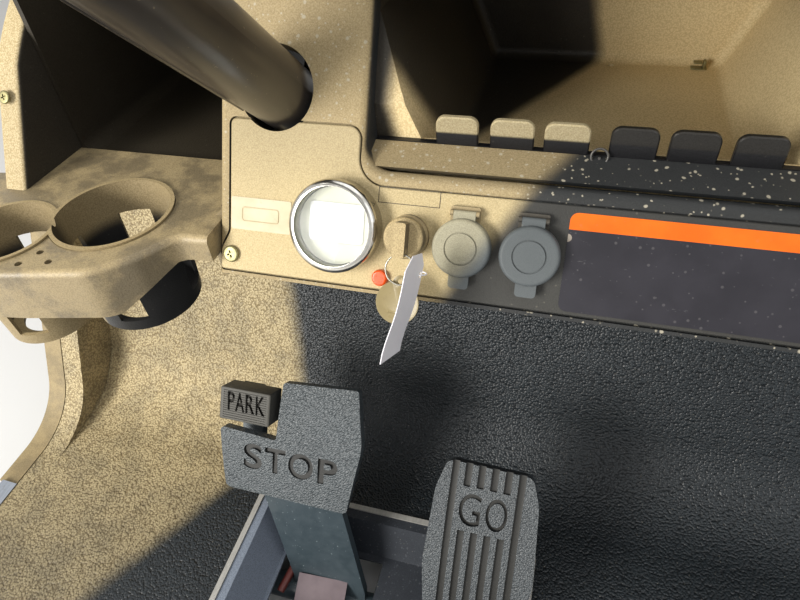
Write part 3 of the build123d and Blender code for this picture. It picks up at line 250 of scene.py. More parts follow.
# dust is the share of it to the left and the right of an edge, which has a place across, a width, and a
# shift with depth and with height; the share is partly dust and partly painted light, the edge being the
# line between a painted sunlit side and a painted shaded side; low, skirt and fade thin it out by place,
# all in metres as the shader reads them, side thins it on faces that look left or right, as painted shade
# on inner walls, and patch in blotches
plasticLooks = {
    # painted sunlight on the floor's left, painted shadow of the dash right of its edge, and painted shade
    # towards the driver's end by fade
    "floorPlastic": {
        "colour": (31, 37, 41), "second": (38, 44, 48), "deep": (14, 18, 21), "grain": 2.5, "depth": 0.6,
        "rough": 0.38, "shine": 0.42, "creviceShade": 0.75, "blotch": 130, "dust": (0.92, 0.0),
        "edge": (-0.402, 0.015, 0.569, -0.428), "fade": (-0.02, 0.28, 0.5), "grit": 1.0, "patch": 0.25,
        "dustColour": (232, 212, 164), "dustDeep": (150, 130, 92),
    },
    # painted sunlight left of the shade edge and painted shade right of it; top below zero darkens upward
    # faces and side darkens inner side faces, both painted shade
    "dashPlastic": {
        "colour": (36, 39, 41), "second": (43, 45, 47), "deep": (28, 30, 32), "grain": 1.0, "depth": 0.06,
        "rough": 0.5, "creviceShade": 0.3, "dust": (0.58, 0.01), "top": -0.65, "edge": dashShadeEdge, "side": 1.0,
        "drops": 0.7, "dropColour": (186, 178, 158), "specks": 0.15,
    },
    "deckPlastic": {
        "colour": (42, 44, 45), "second": (50, 51, 51), "deep": (32, 34, 35), "grain": 1.1, "depth": 0.07,
        "rough": 0.48, "creviceShade": 0.3, "dust": (0.2, 0.1), "edge": (0.0, 0.3, 0.0, 0.0),
        "drops": 0.25, "dropColour": (150, 142, 122), "specks": 0.25,
    },
    "podPlastic": {
        "colour": (60, 58, 54), "second": (68, 65, 60), "deep": (46, 44, 42), "grain": 1.1, "depth": 0.06,
        "rough": 0.33, "shine": 0.55, "creviceShade": 0.3, "dust": (0.86, 0.22), "edge": (0.0, 0.2, 0.0, 0.0),
        "patch": 0.5, "drops": 0.1,
    },
    # side darkens the inner walls as painted shade
    "sidePlastic": {
        "colour": (40, 38, 36), "second": (48, 46, 43), "deep": (30, 29, 28), "grain": 1.2, "depth": 0.05,
        "rough": 0.5, "creviceShade": 0.3, "dust": (1.0, 0.25), "edge": (0.0, 0.2, 0.0, 0.0), "side": 0.95,
        "dustColour": (224, 206, 164), "specks": 0.15,
    },
    # painted sunlight left of the dash's shade edge, painted shade right of it
    "panelPlastic": {
        "colour": (42, 44, 46), "second": (49, 51, 52), "deep": (33, 35, 37), "grain": 0.9, "depth": 0.04,
        "rough": 0.46, "creviceShade": 0.25, "dust": (0.95, 0.03), "edge": dashShadeEdge, "fade": (0.2, 0.163, 0.7),
        "dustColour": (226, 206, 158), "dustDeep": (204, 182, 134), "specks": 0.15,
    },
    "binPlastic": {
        "colour": (34, 32, 30), "second": (42, 40, 37), "deep": (24, 23, 22), "grain": 1.4, "depth": 0.07,
        "rough": 0.42, "creviceShade": 0.3, "dust": (0.06, 0.3), "edge": (0.0, 0.1, 0.0, 0.0), "specks": 0.15,
    },
    # painted sunlight in the right of the centre bin and painted shade in its left
    "centreBinPlastic": {
        "colour": (40, 38, 35), "second": (50, 47, 43), "deep": (28, 27, 26), "grain": 1.4, "depth": 0.07,
        "rough": 0.46, "creviceShade": 0.3, "dust": (0.02, 1.2), "top": 0.0, "edge": (-0.151, 0.009, 0.53, -0.175),
        "dustColour": (236, 214, 166), "dustDeep": (206, 182, 134), "specks": 0.25,
    },
    "wellPlastic": {
        "colour": (34, 34, 34), "second": (44, 43, 41), "deep": (22, 22, 23), "grain": 1.2, "depth": 0.06,
        "rough": 0.42, "creviceShade": 0.3, "dust": (0.9, 0.35), "edge": (0.0, 0.2, 0.0, 0.0),
        "low": (0.448, 0.462), "skirt": (-0.356, -0.352), "specks": 0.15,
    },
    # painted sunlight on the left tabs' upper parts, painted shade on the right tabs and on the band below
    # low
    "combPlastic": {
        "colour": (20, 20, 22), "second": (28, 28, 30), "deep": (13, 13, 15), "grain": 1.0, "depth": 0.04,
        "rough": 0.32, "dust": (1.1, 0.03), "edge": (0.002, 0.004, 0.0, 0.0), "low": (0.5395, 0.5415),
        "dustColour": (196, 182, 146), "dustDeep": (172, 156, 118), "specks": 0.1,
    },
    "cowlPlastic": {
        "colour": (66, 63, 57), "second": (76, 72, 64), "deep": (50, 48, 45), "grain": 1.2, "depth": 0.06,
        "rough": 0.46, "creviceShade": 0.3, "dust": (0.7, 0.3), "edge": (0.0, 0.2, 0.0, 0.0), "patch": 0.3,
        "specks": 0.15,
    },
    # the pale bluish film left of the edge is a painted reflection on the tray's left slope
    "trayPlastic": {
        "colour": (38, 41, 46), "second": (56, 59, 64), "deep": (28, 30, 34), "grain": 0.9, "depth": 0.07,
        "rough": 0.46, "creviceShade": 0.4, "dust": (0.75, 0.04), "edge": (-0.235, 0.03, 0.0, 0.0),
        "dustColour": (168, 180, 198), "dustDeep": (136, 146, 162), "drops": 0.15,
        "dropColour": (140, 142, 146), "specks": 0.3,
    },
    # painted sunlight left of the dash's shade edge, painted shade right of it
    "capRubber": {
        "colour": (76, 83, 87), "second": (84, 90, 94), "deep": (58, 63, 67), "grain": 0.5, "depth": 0.02,
        "rough": 0.52, "creviceShade": 0.2, "dust": (0.7, 0.04), "edge": dashShadeEdge,
        "dustColour": (200, 192, 160), "dustDeep": (176, 166, 134), "specks": 0.15,
    },
    "padRubber": {
        "colour": (65, 75, 82), "second": (72, 82, 89), "deep": (50, 59, 66), "grain": 1.5, "depth": 0.55,
        "rough": 0.38, "shine": 0.6, "creviceShade": 0.7, "dust": (0.04, 0.04), "specks": 0.08,
        "pull": (1.8, 0.85, 0.9), "turn": padTurn,
    },
    "goRubber": {
        "colour": (61, 70, 78), "second": (68, 77, 84), "deep": (46, 54, 61), "grain": 1.4, "depth": 0.5,
        "rough": 0.38, "shine": 0.6, "creviceShade": 0.7, "dust": (0.04, 0.04), "specks": 0.08,
    },
    "parkRubber": {
        "colour": (58, 62, 64), "second": (66, 69, 71), "deep": (46, 50, 52), "grain": 1.0, "depth": 0.05,
        "rough": 0.5, "creviceShade": 0.4, "dust": (0.08, 0.08), "specks": 0.1,
    },
    # painted shade in the carved grooves and letters of the pedal covers
    "paintedGrooveShade": {
        "colour": (25, 29, 33), "second": (30, 34, 38), "deep": (19, 23, 27), "grain": 0.8, "depth": 0.02,
        "rough": 0.5, "creviceShade": 0.3, "dust": (0.03, 0.03), "specks": 0.05,
    },
    # painted shade in the carved letters of the park pedal
    "paintedLetterShade": {
        "colour": (14, 15, 16), "second": (19, 20, 21), "deep": (9, 9, 10), "grain": 0.8, "depth": 0.02,
        "rough": 0.6, "shine": 0.2, "creviceShade": 0.3, "dust": (0.02, 0.02), "specks": 0.02,
    },
    "wheelRubber": {
        "colour": (40, 40, 41), "second": (48, 48, 48), "deep": (25, 25, 26), "grain": 1.3, "depth": 0.1,
        "rough": 0.5, "dust": (0.025, 0.025), "specks": 0.1,
    },
    # painted sunlight left of the dash's shade edge, painted shade right of it
    "socketPlastic": {
        "colour": (46, 48, 50), "second": (54, 55, 56), "deep": (32, 33, 35), "grain": 0.7, "depth": 0.02,
        "rough": 0.45, "dust": (0.7, 0.08), "edge": dashShadeEdge, "specks": 0.1,
    },
    "keyPlastic": {
        "colour": (54, 50, 44), "second": (62, 58, 50), "deep": (38, 36, 32), "grain": 0.8, "depth": 0.03,
        "rough": 0.42, "creviceShade": 0.3, "dust": (0.85, 0.85), "side": 0.7,
        "dustColour": (216, 194, 146), "dustDeep": (176, 154, 110), "specks": 0.1,
    },
}


def pebbled(finish, look):
    # how far a place lies in a crevice of the grain, and its height
    grain = look["grain"]
    wavy = finish.wobble(grain * 1.6, grain * 0.45)
    if look["pull"]:
        wavy = finish.stretch(look["pull"], look["turn"], where=wavy)
    pebble = finish.cells(grain, wavy)
    fine = finish.noise(grain * 0.35, 2.0)
    return pebble.ease(0.3, 0.72), 1 - pebble * pebble * 1.6 + fine * look["fine"]


def dustAndSunlitFilm(finish, look, facing, blotch, broad, grit):
    sideways, backward, skyward = facing
    x, y, z = finish.parts()
    left, right = look["dust"]
    place, width, alongY, alongZ = look["edge"]
    # across places each point against the edge between the painted sunlit side and the painted shaded side
    across = x - y * alongY - z * alongZ + (blotch - 0.5) * width * 1.2
    dustAndLight = left + (right - left) * across.ease(place - width, place + width)
    # top weighs the film by how much a face looks up; below zero, on the dash, it is painted shade on upward
    # faces
    top = look["top"]
    dustAndLight = dustAndLight * (1 - top + skyward.ease(-0.3, 0.9) * top) * (0.84 + grit * 0.16) * (0.78 + broad * 0.44)
    if look["patch"]:
        dustAndLight = dustAndLight * (1 - finish.noise(34, 5.0, 0.65).ease(0.42, 0.62) * look["patch"])
    dustAndLight = dustAndLight * (1 - backward.ease(0.2, 0.6) * 0.85) * (0.15 + skyward.ease(-0.8, -0.3) * 0.85)
    if look["low"]:
        held = z.ease(*look["low"])
        if look["skirt"]:
            held = held.most((1 - y.ease(0.125, 0.135)) * (1 - x.ease(*look["skirt"])))
        dustAndLight = dustAndLight * held
    if look["fade"]:
        low, high, least = look["fade"]
        dustAndLight = dustAndLight * (y.ease(low, high) * (1 - least) + least)
    # faces that look left or right lose the film: painted shade on inner walls
    if look["side"]:
        dustAndLight = dustAndLight * (1 - abs(sideways).ease(0.6, 0.95) * look["side"])
    return dustAndLight


def mouldedPlastic(name, given):
    look = {**plainPlastic, **given}
    finish = Finish(name, Specular_IOR_Level=look["shine"])
    creviceShade, relief = pebbled(finish, look)
    blotch = finish.noise(look["blotch"], 4.0, 0.6)
    broad = finish.noise(240, 2.0)
    grit = finish.noise(look["grit"], 2.0, 0.6).ease(0.25, 0.75)
    facing = finish.facing()
    upward = facing[2].ease(-0.3, 0.9)
    dustAndLight = dustAndSunlitFilm(finish, look, facing, blotch, broad, grit)
    colour = finish.blend(blotch.ease(0.35, 0.7), look["colour"], look["second"])
    # grain hollows take the deep colour as painted shade, and grain tops the lighter dust colour as painted
    # glints
    colour = finish.blend(creviceShade * look["creviceShade"], colour, look["deep"])
    dustAndGlint = finish.blend(grit * 0.35 + (1 - creviceShade) * 0.65, look["dustDeep"], look["dustColour"])
    colour = finish.blend(dustAndLight.least(0.94), colour, dustAndGlint)
    large = finish.specks(7.0, 0.9, 0.2, finish.wobble(7, 1.5))
    small = finish.specks(4.0, 0.7, 0.2, finish.wobble(3, 0.8))
    drops = large.most(small) * upward.ease(0.35, 0.75)
    colour = finish.blend(drops * look["drops"], colour, look["dropColour"])
    spots = finish.specks(5.0, 0.3, 0.16, finish.wobble(4, 1.0)) * (0.3 + upward * 0.7)
    finish.feed("Base Color", finish.blend(spots * look["specks"], colour, look["speckColour"]))
    finish.feed("Roughness", (look["rough"] + (blotch - 0.5) * 0.14 + dustAndLight * 0.24).least(0.92))
    normal = finish.raised(relief, look["depth"])
    finish.feed("Normal", finish.raised(broad + blotch * 0.3, look["swell"], normal))
    return finish.material


for name, look in plasticLooks.items():
    finishes[name] = mouldedPlastic(name, look)

# painted steel: chips to the bare metal, dust in streaks, on the column partly a painted reflection along it
plainSteel = {"coat": 0.2, "along": (1, 1, 1), "turn": (0, 0, 0), "depth": 0.05}
steelLooks = {
    "frameSteel": {
        "colour": (42, 42, 43), "second": (52, 51, 50), "rough": 0.42, "depth": 0.07,
        "dust": 0.45, "dustColour": (128, 114, 88), "chips": 0.5, "bare": (120, 92, 66),
        "specks": 0.15, "speckColour": (150, 140, 120),
    },
    # the column's streaks are partly dust on its upper side and partly a painted reflection along its length
    "columnSteel": {
        "colour": (44, 40, 37), "second": (56, 50, 44), "rough": 0.32, "coat": 0.3,
        "dust": 0.75, "dustColour": (138, 120, 90), "chips": 0.1, "bare": (110, 100, 90),
        "specks": 0.2, "speckColour": (180, 164, 130), "along": (1, 9, 1), "turn": (-42.5, 0, 0),
    },
    "armSteel": {
        "colour": (48, 59, 65), "second": (58, 69, 75), "rough": 0.36, "coat": 0.08,
        "dust": 0.3, "dustColour": (92, 104, 110), "chips": 0.0, "bare": (120, 116, 110),
        "specks": 0.5, "speckColour": (158, 170, 174),
    },
}


def paintedSteel(name, given):
    look = {**plainSteel, **given}
    finish = Finish(name, Specular_IOR_Level=0.55, Coat_Roughness=0.2, Coat_Weight=look["coat"])
    peel = finish.noise(1.6, 2.0)
    blotch = finish.noise(60, 4.0)
    streaks = finish.noise(9, 3.0, 0.6, finish.stretch(look["along"], look["turn"]))
    chips = finish.noise(14, 6.0, 0.7).ease(0.66, 0.7) * look["chips"]
    colour = finish.blend(blotch.ease(0.3, 0.75), look["colour"], look["second"])
    upward = finish.facing()[2].ease(-0.2, 0.9)
    dustAndLight = (0.25 + streaks.ease(0.35, 0.7) * 0.75) * upward * look["dust"]
    colour = finish.blend(dustAndLight, colour, look["dustColour"])
    colour = finish.blend(chips, colour, look["bare"])
    spots = finish.specks(6.0, 0.35, 0.15, finish.wobble(5, 1.2)).most(finish.specks(2.8, 0.2, 0.18))
    finish.feed("Base Color", finish.blend(spots * look["specks"], colour, look["speckColour"]))
    finish.feed("Roughness", look["rough"] + (streaks - 0.5) * 0.16 + dustAndLight * 0.3 + chips * 0.2)
    finish.feed("Metallic", chips * 0.7)
    finish.feed("Normal", finish.raised(peel * 0.4 + streaks * 0.3 - chips * 0.8, look["depth"]))
    return finish.material


for name, look in steelLooks.items():
    finishes[name] = paintedSteel(name, look)

# bare and plated metal: fine streaks and stains
metalLooks = {
    "aluminium": {
        "colour": (182, 188, 196), "second": (162, 168, 178), "metal": 1.0, "rough": 0.34, "depth": 0.03,
        "along": (1, 14, 1), "stain": 0.4, "stainColour": (120, 110, 92),
    },
    "silverTrim": {
        "colour": (196, 194, 188), "second": (180, 178, 172), "metal": 0.35, "rough": 0.42, "depth": 0.02,
        "along": (1, 6, 1), "stain": 0.25, "stainColour": (120, 116, 108),
    },
    "zinc": {
        "colour": (172, 168, 156), "second": (150, 146, 136), "metal": 1.0, "rough": 0.32, "depth": 0.02,
        "along": (6, 1, 1), "stain": 0.3, "stainColour": (104, 96, 84),
    },
    "brass": {
        "colour": (142, 136, 98), "second": (126, 120, 84), "metal": 0.75, "rough": 0.42, "depth": 0.02,
        "along": (1, 1, 1), "stain": 0.5, "stainColour": (104, 96, 66),
    },
    "chrome": {
        "colour": (200, 198, 192), "second": (188, 184, 176), "metal": 1.0, "rough": 0.16, "depth": 0.006,
        "along": (1, 1, 1), "stain": 0.12, "stainColour": (150, 140, 120),
    },
}


def brightMetal(name, look):
    finish = Finish(name, Metallic=look["metal"])
    streak = finish.noise(2.0, 3.0, 0.6, finish.stretch(look["along"]))
    blotch = finish.noise(30, 4.0)
    stain = finish.noise(9, 5.0, 0.65).ease(0.58, 0.72) * look["stain"]
    colour = finish.blend(streak.ease(0.25, 0.75), look["colour"], look["second"])
    finish.feed("Base Color", finish.blend(stain, colour, look["stainColour"]))
    finish.feed("Roughness", look["rough"] + (streak - 0.5) * 0.12 + (blotch - 0.5) * 0.15 + stain * 0.3)
    finish.feed("Normal", finish.raised(streak + blotch * 0.5, look["depth"]))
    return finish.material


for name, look in metalLooks.items():
    finishes[name] = brightMetal(name, look)

# smooth sheet: paper, card, dials and small mouldings
sheetLooks = {
    "tagPaper": {
        "colour": (246, 244, 248), "second": (238, 234, 240), "rough": 0.5,
        "dirt": 0.25, "dirtColour": (200, 176, 176),
    },
    "dialWhite": {
        "colour": (214, 215, 194), "second": (204, 206, 180), "rough": 0.45,
        "dirt": 0.06, "dirtColour": (196, 192, 160),
    },
    "windowWhite": {
        "colour": (232, 233, 230), "second": (226, 228, 222), "rough": 0.3,
        "dirt": 0.02, "dirtColour": (210, 208, 196),
    },
    "dialGrey": {
        "colour": (178, 179, 164), "second": (186, 187, 174), "rough": 0.5,
        "dirt": 0.0, "dirtColour": (200, 196, 180),
    },
    "discAmber": {
        "colour": (140, 126, 88), "second": (120, 106, 70), "rough": 0.3,
        "dirt": 0.35, "dirtColour": (116, 102, 70),
    },
    "plateCream": {
        "colour": (192, 178, 142), "second": (180, 164, 126), "rough": 0.42,
        "dirt": 0.3, "dirtColour": (150, 132, 94),
    },
    "cardWhite": {
        "colour": (122, 108, 112), "second": (104, 92, 96), "rough": 0.7,
        "dirt": 0.4, "dirtColour": (120, 104, 96),
    },
    "redSleeve": {
        "colour": (104, 44, 38), "second": (78, 36, 32), "rough": 0.45,
        "dirt": 0.4, "dirtColour": (60, 40, 36),
    },
}


def plainSheet(name, look):
    finish = Finish(name, Specular_IOR_Level=0.45)
    blotch = finish.noise(18, 4.0)
    colour = finish.blend(blotch.ease(0.35, 0.7) * 0.6, look["colour"], look["second"])
    dirt = finish.noise(6, 5.0, 0.65).ease(0.6, 0.75) * look["dirt"]
    finish.feed("Base Color", finish.blend(dirt, colour, look["dirtColour"]))
    finish.feed("Roughness", look["rough"] + (blotch - 0.5) * 0.2)
    finish.feed("Normal", finish.raised(finish.noise(0.6, 3.0), 0.02))
    return finish.material


for name, look in sheetLooks.items():
    finishes[name] = plainSheet(name, look)

# the dark label with its orange band: places are on the panel
labelLook = {
    "left": -11.0, "right": 190.0, "low": -38.0, "high": 23.6, "thick": 0.35, "corner": 5.0, "bandLow": 13.2,
    "dark": (29, 27, 34), "darkSecond": (38, 36, 43), "orange": (224, 96, 2), "orangeSecond": (234, 108, 8),
    "dots": (138, 134, 134), "scratches": (120, 118, 118),
    "worn": (150, 140, 128), "wornUp": 8.0, "wornSize": 6.0,
}


def labelSheet(look):
    finish = Finish("labelSheet", Specular_IOR_Level=0.35, Coat_Weight=0.12, Coat_Roughness=0.3)
    corner, lean = surfaces["panel"]
    x, up, out = finish.parts(finish.stretch(turn=(lean, 0, 0), shift=tuple(Vector(corner) * mm)))
    band = up > look["bandLow"] * mm
    scratch = finish.noise(3, 4.0, 0.7, finish.stretch((6, 1, 1), (0, 12, 20))).ease(0.66, 0.74)
    dots = finish.specks(7, 0.45, 0.16).most(finish.specks(3.4, 0.3, 0.2))
    blotch = finish.noise(24, 4.0)
    dark = finish.blend(blotch.ease(0.3, 0.7), look["dark"], look["darkSecond"])
    orange = finish.blend(blotch.ease(0.3, 0.7), look["orange"], look["orangeSecond"])
    colour = finish.blend(band, dark, orange)
    colour = finish.blend(dots * (0.16 - band * 0.1), colour, look["dots"])
    colour = finish.blend(scratch * 0.3, colour, look["scratches"])
    across = x - look["left"] * mm
    above = up - look["wornUp"] * mm
    worn = (across * across + above * above) < look["wornSize"] * mm * mm
    finish.feed("Base Color", finish.blend(worn, colour, look["worn"]))
    finish.feed("Roughness", 0.34 + blotch * 0.12 + dots * 0.2)
    finish.feed("Normal", finish.raised(blotch + dots * 0.4, 0.04))
    return finish.material


def lampPlastic():
    finish = Finish("lampPlastic", Coat_Weight=0.25, Coat_Roughness=0.12)
    cloud = finish.noise(4, 3.0)
    finish.feed("Base Color", finish.blend(cloud, (222, 70, 4), (232, 90, 8)))
    finish.feed("Roughness", 0.22 + cloud * 0.12)
    finish.feed("Normal", finish.raised(finish.noise(1.5, 2.0), 0.02))
    return finish.material


def gaugeGlass():
    finish = Finish("gaugeGlass", Base_Color=tone(236, 240, 240), Specular_IOR_Level=0.6)
    dust = finish.noise(12, 4.0).ease(0.55, 0.8)
    finish.feed("Alpha", 0.09 + dust * 0.05 + finish.specks(3.0, 0.3, 0.14) * 0.2)
    finish.feed("Roughness", 0.06 + dust * 0.2)
    finish.feed("Normal", finish.raised(dust, 0.01))
    return finish.material


finishes["labelSheet"] = labelSheet(labelLook)
finishes["lampPlastic"] = lampPlastic()
finishes["gaugeGlass"] = gaugeGlass()
print("finishes made:", len(finishes))

cadFinishes = {
    "frameSteel": ["chassis_frame", "dash_support", "pedal_bracket"],
    "floorPlastic": ["floor_pan"],
    "dashPlastic": ["dash_shell"],
    "deckPlastic": ["dash_deck"],
    "podPlastic": ["pod_left", "pod_right"],
    "sidePlastic": ["side_panel_left", "side_panel_right"],
    "binPlastic": ["bin_left", "bin_right"],
    "centreBinPlastic": ["bin_centre"],
    "wellPlastic": ["cup_well_left", "cup_well_right"],
    "combPlastic": ["comb_rail"],
    "cowlPlastic": ["cowl_edge_left", "cowl_edge_right"],
    "aluminium": ["sill_left", "sill_right"],
    "trayPlastic": ["pedal_tray"],
    "silverTrim": ["tray_trim"],
    "panelPlastic": ["instrument_panel"],
    "zinc": ["pivot_shaft", "steering_shaft"],
    "socketPlastic": ["key_switch", "socket_left", "socket_right"],
    "columnSteel": ["column_jacket"],
    "wheelRubber": ["steering_wheel", "wheel_hub"],
    "armSteel": ["brake_arm", "accel_arm", "park_arm"],
    "dialWhite": ["gauge_case"],
    "chrome": ["gauge_bezel"],
    "gaugeGlass": ["gauge_lens"],
    "keyPlastic": ["key"],
    "capRubber": ["socket_cap_left", "socket_cap_right"],
    "lampPlastic": ["indicator_lamp"],
}
for finishName, nodeNames in cadFinishes.items():
    for nodeName in nodeNames:
        nodes[nodeName].data.materials.clear()
        nodes[nodeName].data.materials.append(finishes[finishName])
print("CAD nodes dressed")


# modelling helpers
def only(*pieces):
    bpy.ops.object.select_all(action="DESELECT")
    for piece in pieces:
        piece.select_set(True)
    bpy.context.view_layer.objects.active = pieces[0]


def fresh(adder, **settings):
    bpy.ops.object.select_all(action="DESELECT")
    adder(**settings)
    return bpy.context.active_object


def brick(width, length, height, x=0.0, y=0.0, z=0.0):
    piece = fresh(bpy.ops.mesh.primitive_cube_add, size=1, location=(x * mm, y * mm, z * mm))
    piece.scale = (width * mm, length * mm, height * mm)
    bpy.ops.object.transform_apply(location=True, rotation=True, scale=True)
    return piece


def rod(radius, height, x=0.0, y=0.0, z=0.0, facets=48):
    size = {"vertices": facets, "radius": radius * mm, "depth": height * mm}
    piece = fresh(bpy.ops.mesh.primitive_cylinder_add, location=(x * mm, y * mm, z * mm), **size)
    bpy.ops.object.transform_apply(location=True, rotation=True, scale=True)
    return piece


def hoop(radius, wire, along, around):
    size = {"major_radius": radius * mm, "minor_radius": wire * mm}
    return fresh(bpy.ops.mesh.primitive_torus_add, major_segments=along, minor_segments=around, **size)


def modify(piece, kind, **settings):
    only(piece)
    modifier = piece.modifiers.new(kind.lower(), kind)
    for key, value in settings.items():
        setattr(modifier, key, value)
    bpy.ops.object.modifier_apply(modifier=modifier.name)
    return piece


def bevelled(piece, width, segments=3, angle=40):
    limit = {"limit_method": "ANGLE", "angle_limit": math.radians(angle)}
    return modify(piece, "BEVEL", width=width * mm, segments=segments, **limit)


def combined(piece, other, operation):
    modify(piece, "BOOLEAN", operation=operation, object=other, solver="EXACT")
    bpy.data.objects.remove(other)
    return piece


def cut(piece, cutter):
    return combined(piece, cutter, "DIFFERENCE")


def joined(*pieces):
    only(*pieces)
    bpy.ops.object.join()
    return bpy.context.active_object


def copied(piece):
    twin = piece.copy()
    twin.data = piece.data.copy()
    bpy.context.collection.objects.link(twin)
    return twin


def move(piece, matrix):
    only(piece)
    piece.matrix_world = matrix @ piece.matrix_world
    bpy.ops.object.transform_apply(location=True, rotation=True, scale=True)
    return piece


def editAll(piece, *steps):
    # edit-mode operators, each with its settings, on the whole piece
    only(piece)
    bpy.ops.object.mode_set(mode="EDIT")
    bpy.ops.mesh.select_all(action="SELECT")
    for operator, settings in steps:
        operator(**settings)
    bpy.ops.object.mode_set(mode="OBJECT")
    return piece


def pickNone(piece, mode):
    only(piece)
    bpy.ops.object.mode_set(mode="EDIT")
    bpy.ops.mesh.select_mode(type=mode)
    bpy.ops.mesh.select_all(action="DESELECT")


def pickFaces(piece, test):
    # leaves edit mode on, with the faces selected that pass the test
    pickNone(piece, "FACE")
    bpy.ops.object.mode_set(mode="OBJECT")
    for face in piece.data.polygons:
        face.select = test(face.center / mm, face.normal)
    bpy.ops.object.mode_set(mode="EDIT")


def insetTop(piece, rim, depth, top=None):
    # insets the faces that look up and pushes them in
    high = max(v.co.z for v in piece.data.vertices) if top is None else top * mm
    pickFaces(piece, lambda centre, normal: normal.z > 0.9 and abs(centre.z * mm - high) < 1e-5)
    bpy.ops.mesh.inset(thickness=rim * mm)
    bpy.ops.transform.translate(value=(0, 0, -depth * mm))
    bpy.ops.object.mode_set(mode="OBJECT")
    return piece


def roundedPlate(width, height, thick, corner, x=0.0, up=0.0):
    # a plate on z = 0 with its upright edges rounded
    piece = brick(width, height, thick, x, up, thick / 2)
    pickNone(piece, "EDGE")
    bpy.ops.object.mode_set(mode="OBJECT")
    for edge in piece.data.edges:
        first, second = (piece.data.vertices[i].co for i in edge.vertices)
        edge.select = abs(first.z - second.z) > thick * mm * 0.5
    bpy.ops.object.mode_set(mode="EDIT")
    bpy.ops.mesh.bevel(offset=corner * mm, segments=6, affect="EDGES")
    bpy.ops.object.mode_set(mode="OBJECT")
    return piece


def finished(piece, name, finishName, body, smooth, place=None):
    if place:
        move(piece, place)
    piece.name = name
    piece.data.name = name
    piece.data.materials.clear()
    piece.data.materials.append(finishes[finishName])
    only(piece)
    if smooth:
        bpy.ops.object.shade_smooth_by_angle(angle=math.radians(smooth))
    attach(piece, body)
    return piece


# pedal covers, carved from the CAD shapes; a letter has its place across and its width
stopLook = {
    "letters": (("S", -37.5, 1.28), ("T", -12.8, 1.0), ("O", 15.5, 0.94), ("P", 44.3, 1.18)),
    "size": 36.5, "fatter": 1.0, "depth": 4.6, "up": -16.2, "out": -0.4, "tilt": -0.05,
    "bow": (0.0, 3.3, 400.0), "shadeBox": ((-55, 60), (-34, 2)),
}
parkLook = {
    "letters": (("P", -63.3, 0.62), ("A", -53.0, 0.52), ("R", -42.0, 0.62), ("K", -30.6, 0.56)),
    "size": 27.4, "fatter": 0.6, "depth": 6.0, "up": 40.2, "out": 4.0, "tilt": -0.08,
    "bow": (3.5, 0.0, 1e7), "shadeBox": ((-72, -22), (28, 53)),
    "round": 1.4, "ribs": 13, "ribGap": 2.35, "rib": (48, 0.9, 1.6), "ribCentre": (-47.8, 37.0, 4.0),
}
goLook = {
    "letters": (("G", -13.0, 0.74), ("O", 10.9, 0.62)),
    "size": 42.0, "fatter": 0.0, "depth": 4.4, "up": 15.0, "out": -1.2, "tilt": 0.0,
    "bow": (0.0, -18.2, 538.0), "shadeBox": ((-38, 38), (-99, 57)),
    "rows": 6, "pitch": 11.9, "middle": -0.6, "upper": (35.8, 60.0), "lower": (-102.0, -5.0),
    "wide": 6.4, "deep": 2.4, "round": 0.7,
}
recessShadeLook = {"steep": 0.5, "skin": 0.1, "deep": 0.8, "deepest": 4.5}
cutterLook = {"start": 0.5, "height": 6.0, "stride": 6.0}


def letterShape(text, look, squeeze):
    piece = fresh(bpy.ops.object.text_add, location=(0, 0, 0))
    piece.data.body = text
    piece.data.size = look["size"] * mm
    piece.data.extrude = look["depth"] * mm / 2
    piece.data.offset = look["fatter"] * mm
    piece.data.resolution_u = 6
    piece.data.align_x = "CENTER"
    piece.data.align_y = "CENTER"
    bpy.ops.object.convert(target="MESH")
    doubles = (bpy.ops.mesh.remove_doubles, {"threshold": 0.00001})
    outwards = (bpy.ops.mesh.normals_make_consistent, {"inside": False})
    piece = editAll(bpy.context.active_object, doubles, outwards)
    return move(piece, Matrix(((squeeze, look["tilt"], 0, 0), (0, 1, 0, 0), (0, 0, 1, 0), (0, 0, 0, 1))))


def spelled(look, word):
    # a word from single letters, each at its own place and width
    shapes = []
    for letter, x, squeeze in word:
        piece = letterShape(letter, look, squeeze)
        middle = sum((Vector(corner) for corner in piece.bound_box), Vector()) / 8
        shapes.append(move(piece, Matrix.Translation(Vector((x, look["up"], look["out"])) * mm - middle)))
    return joined(*shapes)


def sag(bow, y):
    # height of a pad's curved face, whose bow is its top, the centre of the curve and its radius
    top, centre, radius = bow
    return top - (y - centre) ** 2 / (2 * radius)


def paintRecessShade(piece, place, finishName, look):
    # carved faces inside the shade box take a second, darker finish as painted shade: deep ones, and steep
    # ones
    piece.data.materials.append(finishes[finishName])
    back = place.inverted()
    (left, right), (low, high) = look["shadeBox"]
    for face in piece.data.polygons:
        spot = (back @ face.center) / mm
        steep = abs((back.to_3x3() @ face.normal).z) < recessShadeLook["steep"]
        inside = left < spot.x < right and low < spot.y < high
        below = sag(look["bow"], spot.y) - spot.z
        carved = below > recessShadeLook["deep"] or (steep and below > recessShadeLook["skin"])
        if inside and carved and below < recessShadeLook["deepest"]:
            face.material_index = 1


def grooveCutter(look, x, low, high):
    # a cutter that keeps its depth below the curved face
    steps = max(2, round((high - low) / cutterLook["stride"]))
    stride = (high - low) / steps
    heights = [sag(look["bow"], low + index * stride) for index in range(steps + 1)]
    start, tall = cutterLook["start"], cutterLook["height"]
    piece = brick(look["wide"], start, tall, x, low - start / 2, heights[0] - look["deep"] + tall / 2)
    pickFaces(piece, lambda centre, normal: normal.y > 0.9)
    for first, second in zip(heights, heights[1:]):
        step = {"value": (0, stride * mm, (second - first) * mm)}
        bpy.ops.mesh.extrude_region_move(TRANSFORM_OT_translate=step)
    bpy.ops.object.mode_set(mode="OBJECT")
    return bevelled(piece, look["round"], 2, 50)


